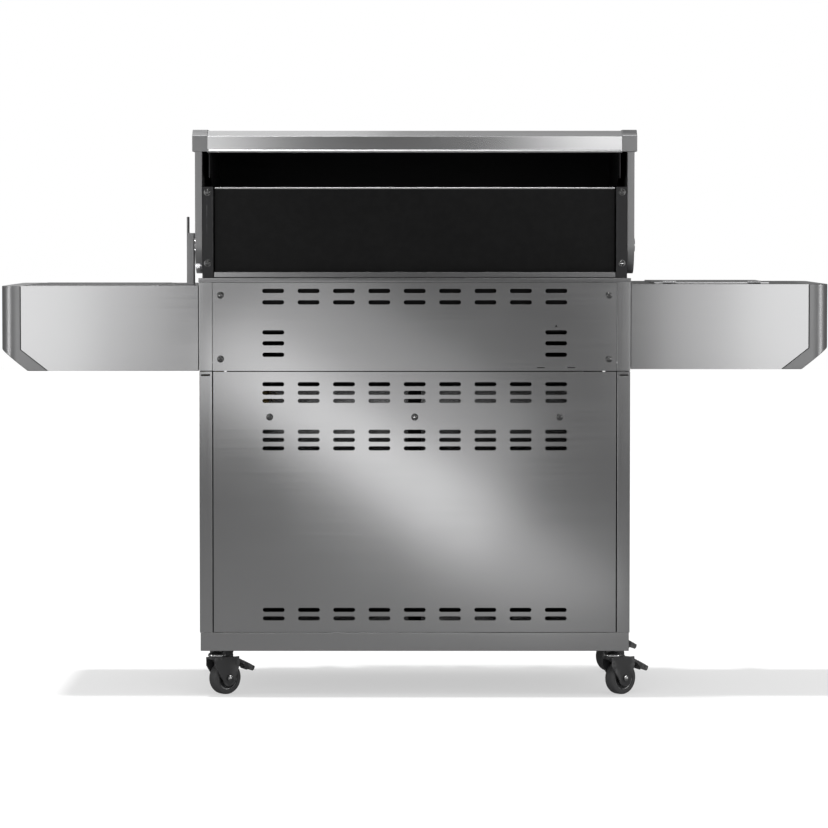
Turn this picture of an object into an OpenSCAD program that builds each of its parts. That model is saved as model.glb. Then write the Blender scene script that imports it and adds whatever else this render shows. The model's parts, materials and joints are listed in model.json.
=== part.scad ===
// Gas barbecue grill: a roll-back lid over a firebox, on a closed cabinet with two deep side
// shelves and four casters. Millimetres. +X is the cook's right, +Y the back, +Z up, and the
// origin is on the floor under the middle of the grill.

/* [Cabinet] */
// Width over the side panels
cab_w = 906; // [880:1:906]
// Rear face of the cabinet, from the middle of the grill
cab_rear = 290; // [290:1:291]
// Front face of the doors, from the middle of the grill
door_face = -226; // [-228:1:-224]
// Thickness of the folded sheet metal
sheet = 1.5; // [1.2:0.1:1.8]
// Width of the corner columns at the back
column_w = 27; // [25:1:28]
// Underside of the base tray above the floor
tray_z = 98; // [97:1:99]
// Height of the base tray
tray_h = 39; // [36:1:39]
// Height of the joint between the lower and the upper back panel
seam_z = 688; // [687:1:689]
// Top of the panels that surround the firebox
surround_z = 875; // [874:1:875]

/* [Vent slots] */
// Slots in one row
slot_count = 9; // [5:2:9]
// Distance from slot to slot
slot_pitch = 74.3; // [60:0.1:80]
// Length of one slot
slot_len = 46; // [36:1:50]
// Height of a slot in the upper panel
slot_h_upper = 9; // [6:0.5:9]
// Height of a slot in the lower panel
slot_h_lower = 8.8; // [6:0.1:9]

/* [Lid] */
// Front face of the lid
lid_front = -215; // [-216:1:-214]
// Lower edge of the lid
lid_z = 893; // [893:0.5:895]
// Top of the lid
lid_top = 1193; // [1185:1:1195]
// Radius of the lid's rounded front
lid_round = 150; // [130:5:150]
// Lid hinge axis, from the middle of the grill
pivot_y = 225; // [223:1:225]
// Lid hinge axis above the floor
pivot_z = 953; // [952:1:954]
// Half the length of the lid's steel shell
shell_half = 435; // [430:1:435]
// Radius of the lid hinge pin
pin_r = 8; // [6:0.5:9]
// Length of the lid handle's bar
handle_len = 560; // [400:10:640]
// Radius of the lid handle's bar
handle_r = 14; // [12:0.5:15]
// Front of the lid handle, from the middle of the grill
handle_front = -293.2; // [-300:0.1:-290]

/* [Firebox] */
// Half the outer width of the firebox
fire_half = 421; // [415:1:421]
// Number of main burners
burner_count = 5; // [3:1:5]
// Distance between the main burners
burner_pitch = 160; // [150:1:165]
// Height of the burners and of their knobs
burner_z = 790; // [785:1:795]
// Radius of a burner tube
burner_r = 16; // [14:0.5:17]

/* [Shelves] */
// Outer end of the shelf casting, from the middle of the grill
shelf_end = 872; // [850:1:880]
// Inner end of a shelf, from the middle of the grill
shelf_in = 456; // [455:1:458]
// Height of a shelf's side walls
shelf_h = 179; // [170:1:180]
// Underside of the right shelf above the floor
right_shelf_z = 688; // [686:1:692]
// Underside of the left shelf above the floor
left_shelf_z = 692; // [690:1:692]
// Rear face of the shelves
shelf_rear = 270; // [260:1:280]
// Front face of the shelves
shelf_front = -220; // [-224:1:-216]
// Width of a shelf end casting
end_cap_w = 42; // [38:1:46]
// Plan radius of a shelf end casting's corners
end_cap_r = 38; // [20:1:38]

/* [Knobs] */
// Radius of a control knob
knob_r = 24; // [20:0.5:26]
// Depth of a control knob
knob_h = 30; // [26:1:32]
// Radius of a valve stem
stem_r = 4; // [3:0.5:5]

/* [Casters] */
// Radius of a wheel
wheel_r = 35; // [35:1:35]
// Width of a wheel's tread
wheel_w = 24; // [20:1:25]
// Distance from the swivel axis to the wheel's axle
trail = 22; // [18:1:24]
// Swivel axes of the casters, from the middle of the grill
caster_x = 420; // [410:1:425]
// Swivel axes of the rear casters
caster_rear = 245; // [235:1:248]
// Swivel axes of the front casters
caster_front = -175; // [-180:1:-160]

/* [Hidden] */
$fn = 64;

steel = [0.62, 0.62, 0.64];
bright_steel = [0.78, 0.78, 0.80];
casting = [0.46, 0.47, 0.48];
charcoal = [0.20, 0.20, 0.21];
enamel = [0.06, 0.06, 0.07];
iron = [0.11, 0.11, 0.12];
brass = [0.72, 0.58, 0.30];
rubber = [0.12, 0.12, 0.13];

// Clearance between pieces that move past each other, and of a pin in its hole
gap = 0.3;
fit = 0.05;
// Overlap that joins two shapes of one piece
bite = 0.5;

cab_half = cab_w / 2;
side_in = cab_half - sheet;
tray_top = tray_z + tray_h;
tray_half = cab_half - 1.5;
panel_half = cab_half - column_w - 2.5;
panel_return = 12;

// Screws in the back: [x, z]
upper_screws = [[408, 848], [408, 714], [-408, 848], [-408, 714]];
lower_screws = [[305, 592], [0, 592], [-305, 592]];
post_screws = [[435, 1064], [435, 915], [-435, 1064], [-435, 915]];
screw_r = 2.4;

// Rows of vent slots, by the height of their middle
upper_rows = [857, 833];
upper_group_rows = [770, 747, 723];
upper_group_x = 297;
lower_rows = [661, 643, 626, 561, 544, 526, 185, 167];

// Lid outline behind the hinge
pivot_round = 60;
lid_rear = pivot_y + pivot_round;
bevel_run = 22;
bevel_drop = 12;
strip_z = 1153;
lip_z = 1146;
liner_inset = 25;
cap_rim = 46;
cap_rim_x = 466.5;
cap_corner_z = 1149;
cap_plate_in = 446.5;
cap_plate_out = 461;
spit_y = 30;
spit_z = 902;
spit_r = 9;
handle_y = handle_front + handle_r;
handle_z = 935;
handle_bracket_x = 240;
gauge_z = 1000;
gauge_r = 34;
needle_y = lid_front - 6;

// Hinge posts
post_in = 423;
post_out = 446;
post_front = 200;
post_rear = 284;
post_top = 1075;
post_sheet = 2.5;

// Firebox
fire_front = -195;
fire_rear = 266;
fire_low = 700;
fire_bend = 770;
fire_top = 889;
fire_wall = 2.5;
rim_t = 3.5;
rim_half = 440;
rim_front = -212;
mouth_half = 330;
mouth_front = -150;
mouth_rear = 190;
wall_front = 240;
burner_x0 = -burner_pitch * (burner_count - 1) / 2;
burner_front = -212;
burner_end = 225;

// Control panel
panel_face = -252;
panel_z = 690;
panel_top = 880;
frame_y = -205;
bezel_t = 5;
knob_back = panel_face - bezel_t - gap;

// Drip tray
drip_half = 340;
drip_z = 660;
drip_h = 24;
drip_rear = 215;

// Doors
door_t = 18;
door_axis_x = 437;
door_axis_y = door_face + door_t / 2;
door_low = 140.5;
door_high = 651.5;
door_pin_r = 3;
bar_z = 636;
bar_top = 655;

// Side burner, in the left shelf
side_x = -630;
side_y = 30;
side_w = 228;
side_d = 320;
side_depth = 60;
side_knob_z = left_shelf_z + 90;
side_lid_w = 244;
side_lid_d = 336;
side_lid_t = 3;
left_deck = left_shelf_z + shelf_h;
right_deck = right_shelf_z + shelf_h;
// Raised work area of the right deck
deck_rise = 0.8;
deck_x0 = 540;
deck_x1 = 815;
side_lid_z = left_deck + gap;
side_hinge_y = side_y + side_lid_d / 2 + 3;
side_hinge_z = side_lid_z + side_lid_t;

// Gas inlet, above the hose hole in the base tray
hose_x = 330;
hose_y = -120;
inlet_z = 594;

// Shelf outline
cap_slope = 45;
cap_toe = 57;

// Casters: place and the way that the wheel trails
caster_turn = [220, 220, 303, 220];
fork_top = 80;
fork_hub = 88;
fork_t = 2.5;
fork_in = 13.5;
brake_x = trail + 22;
brake_z = 70;

// A copy on each side of the middle plane
module both_sides() {
    children();
    mirror([1, 0, 0]) children();
}

// A piece drawn for the right, moved to the side that is named
module on_side(side) {
    mirror([side < 0 ? 1 : 0, 0, 0]) children();
}

// A box between two corners
module block(low, high) {
    translate(low) cube(high - low);
}

// Solid from a side view: the outline's own x runs along Y and its y along Z
module from_side(x0, x1) {
    translate([x0, 0, 0]) rotate([90, 0, 90]) linear_extrude(x1 - x0) children();
}

// Solid from a front view: the outline's own x runs along X and its y along Z
module from_front(y0, y1) {
    translate([0, y1, 0]) rotate([90, 0, 0]) linear_extrude(y1 - y0) children();
}

// Cylinder along Y, from y0 to y1
module rod_y(x, z, y0, y1, r) {
    translate([x, y1, z]) rotate([90, 0, 0]) cylinder(r = r, h = y1 - y0);
}

// Cylinder along X, from x0 to x1
module rod_x(y, z, x0, x1, r) {
    translate([x0, y, z]) rotate([0, 90, 0]) cylinder(r = r, h = x1 - x0);
}

// Slot with round ends
module slot(h) {
    straight = slot_len - h;
    square([straight, h], center = true);
    translate([straight / 2, 0]) circle(d = h);
    translate([-straight / 2, 0]) circle(d = h);
}

// Rows of slots across the middle, or a stack of single slots at x
module slot_rows(rows, h) {
    for (z = rows, i = [0 : slot_count - 1])
        translate([(i - (slot_count - 1) / 2) * slot_pitch, z]) slot(h);
}

module slot_stack(x, rows, h) {
    for (z = rows)
        translate([x, z]) slot(h);
}

module screw_holes(places) {
    for (p = places)
        translate(p) circle(r = screw_r + 0.1);
}

// Pan-head screw with its washer, driven towards the front at [x, z]
module screw(p, y) {
    translate([p[0], y, p[1]]) rotate([-90, 0, 0]) {
        cylinder(r = 7.5, h = 1);
        cylinder(r1 = 5.2, r2 = 3.6, h = 3.2);
        translate([0, 0, -7]) cylinder(r = screw_r, h = 7.5);
    }
}

// ---- Cabinet ----

module base_tray() {
    color(steel)
    difference() {
        block([-tray_half, door_face + 8, tray_z], [tray_half, cab_rear, tray_top]);
        block([-tray_half + 2, door_face + 10, tray_z - 1],
              [tray_half - 2, cab_rear - 2, tray_top - 2]);
        // Hole for the gas hose
        translate([hose_x, hose_y, tray_top - 3]) cylinder(r = 18, h = 4);
    }
}

module side_panel(side) {
    z1 = seam_z - 0.5;
    color(steel)
    on_side(side) {
        difference() {
            union() {
                block([side_in, door_face, tray_top], [cab_half, cab_rear, z1]);
                block([cab_half - column_w, cab_rear - sheet, tray_top],
                      [cab_half, cab_rear, z1]);
                block([cab_half - column_w, cab_rear - 15, tray_top],
                      [cab_half - column_w + sheet, cab_rear, z1]);
            }
            block([cab_half - column_w + 4, cab_rear - 3, z1 - 9],
                  [cab_half - 4, cab_rear + 1, z1 - 6]);
        }
    }
}

module upper_side_panels() {
    z0 = seam_z + 1;
    color(steel)
    both_sides() {
        block([side_in, frame_y, z0], [cab_half, cab_rear, surround_z]);
        block([cab_half - column_w - 0.5, cab_rear - sheet, z0],
              [cab_half, cab_rear, surround_z]);
        block([post_in + 0.5, frame_y, surround_z - sheet],
              [cab_half, cab_rear - 5, surround_z]);
    }
}

module folded_panel(z0, z1, half) {
    difference() {
        block([-half, cab_rear - panel_return, z0], [half, cab_rear, z1]);
        block([-half + sheet, cab_rear - panel_return - 1, z0 + sheet],
              [half - sheet, cab_rear - sheet, z1 - sheet]);
    }
}

module rear_lower_panel() {
    color(steel)
    difference() {
        folded_panel(tray_top + 1, seam_z - 1, panel_half);
        from_front(cab_rear - 3, cab_rear + 1) {
            slot_rows(lower_rows, slot_h_lower);
            screw_holes(lower_screws);
        }
    }
}

module rear_upper_panel() {
    color(steel)
    difference() {
        folded_panel(seam_z + 1, surround_z - 0.5, panel_half + 1);
        from_front(cab_rear - 3, cab_rear + 1) {
            slot_rows(upper_rows, slot_h_upper);
            slot_stack(upper_group_x, upper_group_rows, slot_h_upper);
            slot_stack(-upper_group_x, upper_group_rows, slot_h_upper);
            screw_holes(upper_screws);
            translate([-upper_group_x, 783]) circle(r = 2);
            // Slits for the panel's lower clips
            for (x = [-265, -329])
                translate([x - 8, seam_z + 7]) square([16, 1.6]);
        }
    }
}

module rear_top_rail() {
    color(bright_steel) {
        block([-cab_half - 1, 285, surround_z], [cab_half + 1, cab_rear + 1, 884]);
        block([-fire_half, 285, 884 - bite], [fire_half, 285 + sheet, 896.5]);
    }
}

module panel_screws() {
    color(bright_steel) {
        for (p = concat(upper_screws, lower_screws))
            screw(p, cab_rear);
        for (p = post_screws)
            screw(p, post_rear);
    }
}

module front_frame() {
    color(charcoal) {
        both_sides() {
            // Stile behind the door's hinge edge
            block([425, frame_y, tray_top], [side_in, frame_y + sheet, seam_z]);
            block([425, frame_y, tray_top], [425 + sheet, frame_y + 20, seam_z]);
            // Brackets that carry the door's hinge pins
            block([425, door_face, tray_top], [449, frame_y + bite, tray_top + 2.5]);
            block([425, door_face, bar_top - 2.5], [449, frame_y + bite, bar_top]);
            translate([door_axis_x, door_axis_y, tray_top + 2])
                cylinder(r = door_pin_r, h = 26);
            translate([door_axis_x, door_axis_y, bar_top - 27])
                cylinder(r = door_pin_r, h = 26);
            // Runner for the drip tray
            block([360.5, frame_y + bite, bar_z + 4], [362, cab_rear - 13, 681.7]);
            block([345, frame_y + bite, 681.7 - sheet], [362, cab_rear - 13, 681.7]);
        }
        // Sill and middle stile that close the gaps round the doors
        block([-426, frame_y, tray_top], [426, frame_y + sheet, tray_top + 12]);
        block([-14, frame_y, tray_top], [14, frame_y + sheet, bar_z + bite]);
        // Bar across the top of the doors
        block([-426, frame_y, bar_z], [426, frame_y + sheet, bar_top]);
        block([-426, frame_y, bar_z], [426, frame_y + 14, bar_z + sheet]);
    }
}

// ---- Doors ----

// Folded door with a hinge tube down its outer edge, drawn for the right
module door(side) {
    half_t = door_t / 2;
    color(steel)
    on_side(side)
    difference() {
        union() {
            block([2, door_face, door_low], [door_axis_x, door_face + door_t, door_high]);
            translate([door_axis_x, door_axis_y, door_low])
                cylinder(r = half_t, h = door_high - door_low);
        }
        block([2 + sheet, door_face + sheet, door_low + sheet],
              [door_axis_x - half_t - 2, door_face + door_t + 1, door_high - sheet]);
        translate([door_axis_x, door_axis_y, door_low - 1])
            cylinder(r = door_pin_r + fit, h = door_high - door_low + 2);
    }
}

module door_handle(side) {
    x = 38;
    bar_y = door_face - 36;
    color(bright_steel)
    on_side(side) {
        translate([x, bar_y, 380]) cylinder(r = 8, h = 200);
        for (z = [410, 550])
            rod_y(x, z, bar_y, door_face, 5.5);
    }
}

// ---- Control panel and knobs ----

module panel_outline(i) {
    polygon([
        [frame_y, panel_z + i],
        [panel_face + 6, panel_z + i],
        [panel_face + i, panel_z + 6],
        [panel_face + i, panel_top - 18],
        [panel_face + 16, panel_top - i],
        [frame_y, panel_top - i]
    ]);
}

module control_panel() {
    color(steel)
    difference() {
        from_side(-cab_half, cab_half) panel_outline(0);
        from_side(-side_in, side_in) panel_cavity();
        for (i = [0 : burner_count - 1])
            rod_y(burner_x0 + i * burner_pitch, burner_z, panel_face - 1,
                  panel_face + 4, stem_r + 3);
    }
}

// Inside of the control panel, open to the back
module panel_cavity() {
    panel_outline(sheet);
    translate([frame_y - 10, panel_z + sheet])
        square([20, panel_top - panel_z - 2 * sheet]);
}

module bezel(x, z, face) {
    difference() {
        union() {
            rod_y(x, z, face - bezel_t, face, knob_r + 4);
            rod_y(x, z, face - 2, face, knob_r + 8);
        }
        rod_y(x, z, face - bezel_t - 1, face + 1, stem_r + 2);
    }
}

module knob_bezels() {
    color(bright_steel) {
        for (i = [0 : burner_count - 1])
            bezel(burner_x0 + i * burner_pitch, burner_z, panel_face);
        bezel(side_x, side_knob_z, shelf_front);
    }
}

// Knob facing the cook, with its back at y, on the stem at x and z
module knob(x, z, y) {
    grips = 12;
    color(charcoal)
    translate([x, y, z]) rotate([90, 0, 0])
    difference() {
        union() {
            cylinder(r = knob_r, h = 8);
            cylinder(r = knob_r - 5, h = knob_h - 3);
            translate([-4, 0, knob_h - 6]) cube([8, knob_r - 6, 6]);
            translate([-5, -knob_r + 6, 6]) cube([10, 2 * knob_r - 12, knob_h - 6]);
        }
        for (i = [0 : grips - 1])
            rotate(i * 360 / grips)
                translate([knob_r + 1.5, 0, -1]) cylinder(r = 3.5, h = 10);
        translate([0, 0, -1]) cylinder(r = stem_r + fit, h = 17);
    }
}

module numbered_knob(i) {
    knob(burner_x0 + i * burner_pitch, burner_z, knob_back);
}

// ---- Firebox and gas train ----

// Tub seen from the front and from the side, pulled in by i
module tub_solid(i, low, high) {
    intersection() {
        from_front(fire_front - 5, fire_rear + 5)
            polygon([
                [-mouth_half + i, fire_low], [mouth_half - i, fire_low],
                [fire_half - i, fire_bend], [fire_half - i, fire_top + rim_t + 1],
                [-fire_half + i, fire_top + rim_t + 1], [-fire_half + i, fire_bend]
            ]);
        from_side(-fire_half, fire_half)
            polygon([
                [mouth_front + i, fire_low], [mouth_rear - i, fire_low],
                [fire_rear - i, fire_bend], [fire_rear - i, fire_top + rim_t + 1],
                [fire_front + i, fire_top + rim_t + 1], [fire_front + i, fire_bend]
            ]);
        block([-fire_half, fire_front, low], [fire_half, fire_rear, high]);
    }
}

module firebox() {
    color(enamel)
    difference() {
        union() {
            tub_solid(0, fire_low, fire_top + rim_t);
            // Rim that the closed lid hangs over, and the seat of the rear wall
            block([-rim_half, rim_front, fire_top], [rim_half, post_front - 2, fire_top + rim_t]);
            // Feet that stand on the surround
            both_sides()
                for (y = [-160, 140])
                    block([426, y, surround_z], [438, y + 24, fire_top + 1]);
        }
        difference() {
            tub_solid(fire_wall, fire_low - 1, fire_top + rim_t + 1);
            // Ledges that carry the cooking grids and the flame tamers
            for (z = [862, 822]) {
                block([-fire_half, fire_front, z], [fire_half, fire_front + 8, z + 4]);
                block([-fire_half, wall_front - 2, z], [fire_half, fire_rear, z + 4]);
            }
        }
        block([-mouth_half + fire_wall, mouth_front + fire_wall, fire_low - 1],
              [mouth_half - fire_wall, mouth_rear - fire_wall, fire_low + 1]);
        for (i = [0 : burner_count - 1])
            rod_y(burner_x0 + i * burner_pitch, burner_z, fire_front - 1,
                  fire_front + fire_wall + 1, burner_r + 1);
    }
}

module firebox_rear_wall() {
    z0 = fire_top + rim_t;
    color(enamel)
    difference() {
        block([-fire_half, wall_front, z0], [fire_half, fire_rear, post_top]);
        block([-fire_half + sheet, wall_front + sheet, z0 - 1],
              [fire_half - sheet, fire_rear - sheet, post_top - sheet]);
    }
}

module hinge_posts() {
    color(charcoal)
    both_sides()
    difference() {
        union() {
            block([post_out - post_sheet, post_front, surround_z],
                  [post_out, post_rear, post_top]);
            block([post_in, post_rear - post_sheet, surround_z],
                  [post_out, post_rear, post_top]);
            block([post_in, post_front, surround_z],
                  [post_out, post_front + post_sheet, post_top]);
            block([post_in, post_front, post_top - post_sheet],
                  [post_out, post_rear, post_top]);
            rod_x(pivot_y, pivot_z, post_in + 8, post_out - 1, pin_r + 5);
        }
        rod_x(pivot_y, pivot_z, post_in, post_out + 1, pin_r + fit);
        from_front(post_rear - 4, post_rear + 1) screw_holes(post_screws);
    }
}

module main_burners() {
    color(steel)
    for (i = [0 : burner_count - 1]) {
        x = burner_x0 + i * burner_pitch;
        difference() {
            rod_y(x, burner_z, burner_front, burner_end, burner_r);
            rod_y(x, burner_z, burner_front - 1, burner_end - sheet, burner_r - sheet);
        }
        // Tongue that rests in the firebox's rear wall
        block([x - 10, burner_end - bite, burner_z - 1], [x + 10, fire_rear - fire_wall, burner_z + 1]);
    }
}

module flame_tamers() {
    half_w = 62;
    rise = 26;
    color(steel)
    for (i = [0 : burner_count - 1])
        translate([burner_x0 + i * burner_pitch, 0, 826])
            from_front(fire_front + fire_wall + 1, wall_front + 12)
                polygon([
                    [-half_w, 0], [-half_w + 2, 0], [0, rise - 2], [half_w - 2, 0],
                    [half_w, 0], [0, rise]
                ]);
}

module cooking_grids() {
    grids = 4;
    bars = 11;
    grid_w = 205;
    bar_w = 7;
    y0 = fire_front + fire_wall + 1;
    y1 = wall_front + 10;
    pitch = (grid_w - bar_w) / (bars - 1);
    color(iron)
    for (g = [0 : grids - 1])
        translate([(g - (grids - 1) / 2) * (grid_w + 3) - grid_w / 2, 0, 0]) {
            for (b = [0 : bars - 1])
                block([b * pitch, y0, 870], [b * pitch + bar_w, y1, 880]);
            for (y = [y0, (y0 + y1) / 2 - 4, y1 - 8])
                block([0, y, 866], [grid_w, y + 8, 874]);
        }
}

// Manifold behind the control panel, its valves, and the pipe down to the gas inlet
module gas_manifold() {
    pipe_r = 9;
    pipe_y = -226;
    pipe_z = 762;
    drop_x = 432;
    drop_z = 626;
    color(brass)
    difference() {
        union() {
            rod_x(pipe_y, pipe_z, -380, drop_x, pipe_r);
            translate([drop_x, pipe_y, pipe_z]) sphere(r = pipe_r);
            rod_y(drop_x, pipe_z, pipe_y, hose_y, pipe_r);
            translate([drop_x, hose_y, pipe_z]) sphere(r = pipe_r);
            translate([drop_x, hose_y, drop_z]) cylinder(r = pipe_r, h = pipe_z - drop_z);
            translate([drop_x, hose_y, drop_z]) sphere(r = pipe_r);
            rod_x(hose_y, drop_z, hose_x, drop_x, pipe_r);
            translate([hose_x, hose_y, drop_z]) sphere(r = pipe_r);
            translate([hose_x, hose_y, inlet_z + 14]) cylinder(r = 13, h = 13, $fn = 6);
            translate([hose_x, hose_y, inlet_z]) cylinder(r = 7.9, h = 15);
            for (i = [0 : burner_count - 1]) {
                x = burner_x0 + i * burner_pitch;
                block([x - 13, -247, pipe_z], [x + 13, -216, burner_z + 13]);
                rod_y(x, burner_z, -217, burner_front + 6, 5);
                rod_y(x, burner_z, knob_back - 15, -246, stem_r);
            }
        }
        translate([hose_x, hose_y, inlet_z - 1]) cylinder(r = 4, h = 33);
    }
}

module warming_rack() {
    z = 1000;
    y0 = 96;
    half = 370;
    rods = 7;
    color(steel) {
        for (i = [0 : rods - 1])
            rod_x(y0 + i * 21, z, -half, half, 3);
        for (x = [-half, -half / 3, half / 3, half])
            block([x - 3, y0 - 3, z - 5], [x + 3, wall_front, z + 1]);
    }
}

module drip_tray() {
    front = -222;
    color(steel) {
        difference() {
            block([-drip_half, front + sheet, drip_z], [drip_half, drip_rear, drip_z + drip_h]);
            block([-drip_half + sheet, front + 2 * sheet, drip_z + sheet],
                  [drip_half - sheet, drip_rear - sheet, drip_z + drip_h + 1]);
        }
        both_sides()
            block([drip_half - bite, front + 20, drip_z + drip_h - 2],
                  [drip_half + 15, drip_rear, drip_z + drip_h]);
        block([-420, front, 657.5], [420, front + sheet, 687.5]);
        block([-420, front - 14, 686], [420, front + bite, 687.5]);
        block([-420, front - 14, 680], [420, front - 14 + sheet, 687.5]);
    }
}

// ---- Lid ----

// Side view of the closed lid, pulled in by i except along its lower edge
module lid_outline(i) {
    bevel_len = sqrt(bevel_run * bevel_run + bevel_drop * bevel_drop);
    difference() {
        union() {
            translate([lid_front + lid_round, lid_z])
                square([pivot_y - lid_front - lid_round, lid_top - i - lid_z]);
            translate([pivot_y - 1, pivot_z])
                square([pivot_round - i + 1, lid_top - i - pivot_z]);
            translate([lid_front + i, lid_z])
                square([lid_round - i + 1, lid_top - lid_round - lid_z]);
            translate([lid_front + lid_round, lid_top - lid_round])
                circle(r = lid_round - i, $fn = 128);
            translate([pivot_y, pivot_z])
                circle(r = pivot_round - min(i, 20), $fn = 96);
        }
        translate([-i * bevel_drop / bevel_len, -i * bevel_run / bevel_len])
            polygon([
                [lid_rear + bevel_run, lid_top - 2 * bevel_drop],
                [lid_rear - 2 * bevel_run, lid_top + bevel_drop],
                [lid_rear + bevel_run, lid_top + bevel_drop]
            ]);
    }
}

// The part of the lid behind its steel shell, where the back stays open
module rear_opening(z) {
    translate([-60, lid_z - 1]) square([lid_rear + 70, z - lid_z + 1]);
}

module lid_shell() {
    color(bright_steel)
    difference() {
        union() {
            from_side(-shell_half, shell_half)
                difference() {
                    lid_outline(0);
                    lid_outline(sheet);
                    rear_opening(strip_z);
                }
            // Bright lip along the lower edge of the rear band
            from_side(-shell_half + 4, shell_half - 4)
                polygon([
                    [lid_rear - sheet, strip_z + 2], [lid_rear, strip_z + 2],
                    [lid_rear, strip_z], [lid_rear - 4, lip_z],
                    [lid_rear - 4 - sheet, lip_z + 1], [lid_rear - sheet, strip_z]
                ]);
            // Lower front edge, folded in
            block([-shell_half, lid_front, lid_z], [shell_half, lid_front + 14, lid_z + sheet]);
        }
        rod_y(0, gauge_z, lid_front - 1, lid_front + 5, 6);
    }
}

module lid_liner() {
    half = shell_half - 2;
    color(enamel)
    difference() {
        union() {
            from_side(-half, half)
                difference() {
                    lid_outline(liner_inset);
                    lid_outline(liner_inset + sheet);
                    rear_opening(strip_z);
                    translate([-400, lid_z - 1]) square([800, 3]);
                }
            // Side skins, clear of the hinge posts
            both_sides()
                from_side(half - sheet, half)
                    difference() {
                        lid_outline(liner_inset);
                        translate([pivot_y, pivot_z]) circle(r = 145, $fn = 96);
                        translate([pivot_y - 145, lid_z - 1]) square([300, 62]);
                        translate([-400, lid_z - 1]) square([800, 3]);
                        spit_notch();
                    }
        }
        rod_y(0, gauge_z, lid_front + liner_inset - 1, lid_front + liner_inset + 5, 6);
    }
}

// Notch for a spit in the lower edge of the lid's ends
module spit_notch() {
    translate([spit_y, spit_z]) circle(r = spit_r);
    translate([spit_y - spit_r, lid_z - 2]) square([2 * spit_r, spit_z - lid_z + 2]);
}

// Cast end of the lid: a plate with a wide rim along its front, top and rear corner
module lid_cap(side) {
    color(casting)
    on_side(side)
    difference() {
        union() {
            from_side(cap_plate_in, cap_plate_out)
                difference() {
                    lid_outline(0);
                    spit_notch();
                }
            from_side(shell_half + 0.2, cap_rim_x)
                difference() {
                    lid_outline(-2);
                    lid_outline(cap_rim);
                    translate([60, lid_z - 5]) square([400, cap_corner_z - lid_z + 5]);
                    translate([-400, lid_z - 5]) square([800, 5]);
                }
        }
        rod_x(pivot_y, pivot_z, cap_plate_in - 1, cap_plate_out + 1, pin_r + fit);
    }
}

module lid_hinge_pins() {
    color(bright_steel)
    both_sides() {
        rod_x(pivot_y, pivot_z, post_in + 9, cap_plate_out + bite, pin_r);
        rod_x(pivot_y, pivot_z, cap_plate_out, cap_plate_out + 4, pin_r + 6);
    }
}

module lid_handle() {
    color(bright_steel)
    rod_x(handle_y, handle_z, -handle_len / 2, handle_len / 2, handle_r);
}

module lid_handle_brackets() {
    color(casting)
    both_sides()
    difference() {
        union() {
            block([handle_bracket_x - 12, handle_y, handle_z - 13],
                  [handle_bracket_x + 12, lid_front, handle_z + 13]);
            block([handle_bracket_x - 16, lid_front - 6, handle_z - 24],
                  [handle_bracket_x + 16, lid_front, handle_z + 24]);
        }
        rod_x(handle_y, handle_z, 0, handle_len, handle_r + fit);
    }
}

module gauge_body() {
    color(bright_steel)
    difference() {
        union() {
            rod_y(0, gauge_z, lid_front - 10, lid_front, gauge_r);
            rod_y(0, gauge_z, lid_front - bite, lid_front + 75, 4);
        }
        difference() {
            rod_y(0, gauge_z, lid_front - 11, lid_front - 4, gauge_r - 5);
            rod_y(0, gauge_z, lid_front - 12, lid_front - 3, 1);
        }
    }
}

module gauge_needle() {
    color("red")
    difference() {
        union() {
            rod_y(0, gauge_z, needle_y - 1.2, needle_y, 3.5);
            translate([0, needle_y, gauge_z]) rotate([90, 0, 0]) linear_extrude(1)
                polygon([[2, 0], [0, 2], [-21, -15], [-20, -16.5]]);
        }
        rod_y(0, gauge_z, needle_y - 3, needle_y + 2, 1 + fit);
    }
}

// ---- Side shelves ----

// Front view of a shelf's walls for the right side, pulled in by i but open below
module shelf_outline(z, i) {
    seam = shelf_end - end_cap_w;
    polygon([
        [shelf_in + i, z - (i > 0 ? 1 : 0)],
        [seam - cap_toe - i * 0.5 - (i > 0 ? 1 : 0), z - (i > 0 ? 1 : 0)],
        [seam - i, z + cap_slope - i * 0.6],
        [seam - i, z + shelf_h - i],
        [shelf_in + i, z + shelf_h - i]
    ]);
}

module shelf_body(z) {
    difference() {
        from_front(shelf_front, shelf_rear) shelf_outline(z, 0);
        from_front(shelf_front + sheet, shelf_rear - sheet) shelf_outline(z, sheet);
    }
    // Plates that bolt the shelf to the cabinet
    for (y = [-150, 100])
        block([cab_half, y, z + 30], [shelf_in + bite, y + 50, z + 130]);
}

module cap_outline(z, i) {
    polygon([
        [shelf_in, z + i], [shelf_end - cap_toe - i * 0.5, z + i],
        [shelf_end - i, z + cap_slope + i * 0.5],
        [shelf_end - i, z + shelf_h - i], [shelf_in, z + shelf_h - i]
    ]);
}

module cap_plan(i) {
    y0 = shelf_front - 2 + i;
    y1 = shelf_rear + 2 - i;
    r = end_cap_r - i;
    x1 = shelf_end - i;
    translate([shelf_in, y0]) square([x1 - r - shelf_in, y1 - y0]);
    translate([shelf_in, y0 + r]) square([x1 - shelf_in, y1 - y0 - 2 * r]);
    for (y = [y0 + r, y1 - r])
        translate([x1 - r, y]) circle(r = r);
}

module cap_solid(z, i) {
    intersection() {
        from_front(shelf_front - 2, shelf_rear + 2) cap_outline(z, i);
        translate([0, 0, z - 1]) linear_extrude(shelf_h + 2) cap_plan(i);
    }
}

// Cast end of a shelf: a hollow shell whose inner edge follows the shelf's seam
module shelf_cap(side, z) {
    seam = shelf_end - end_cap_w;
    color(casting)
    on_side(side)
    difference() {
        cap_solid(z, 0);
        cap_solid(z, 3);
        from_front(shelf_front - 3, shelf_rear + 3)
            polygon([
                [shelf_in - 1, z - 1], [seam - cap_toe - 1.2, z - 1],
                [seam, z + cap_slope], [seam, z + shelf_h + 1], [shelf_in - 1, z + shelf_h + 1]
            ]);
    }
}

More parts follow.
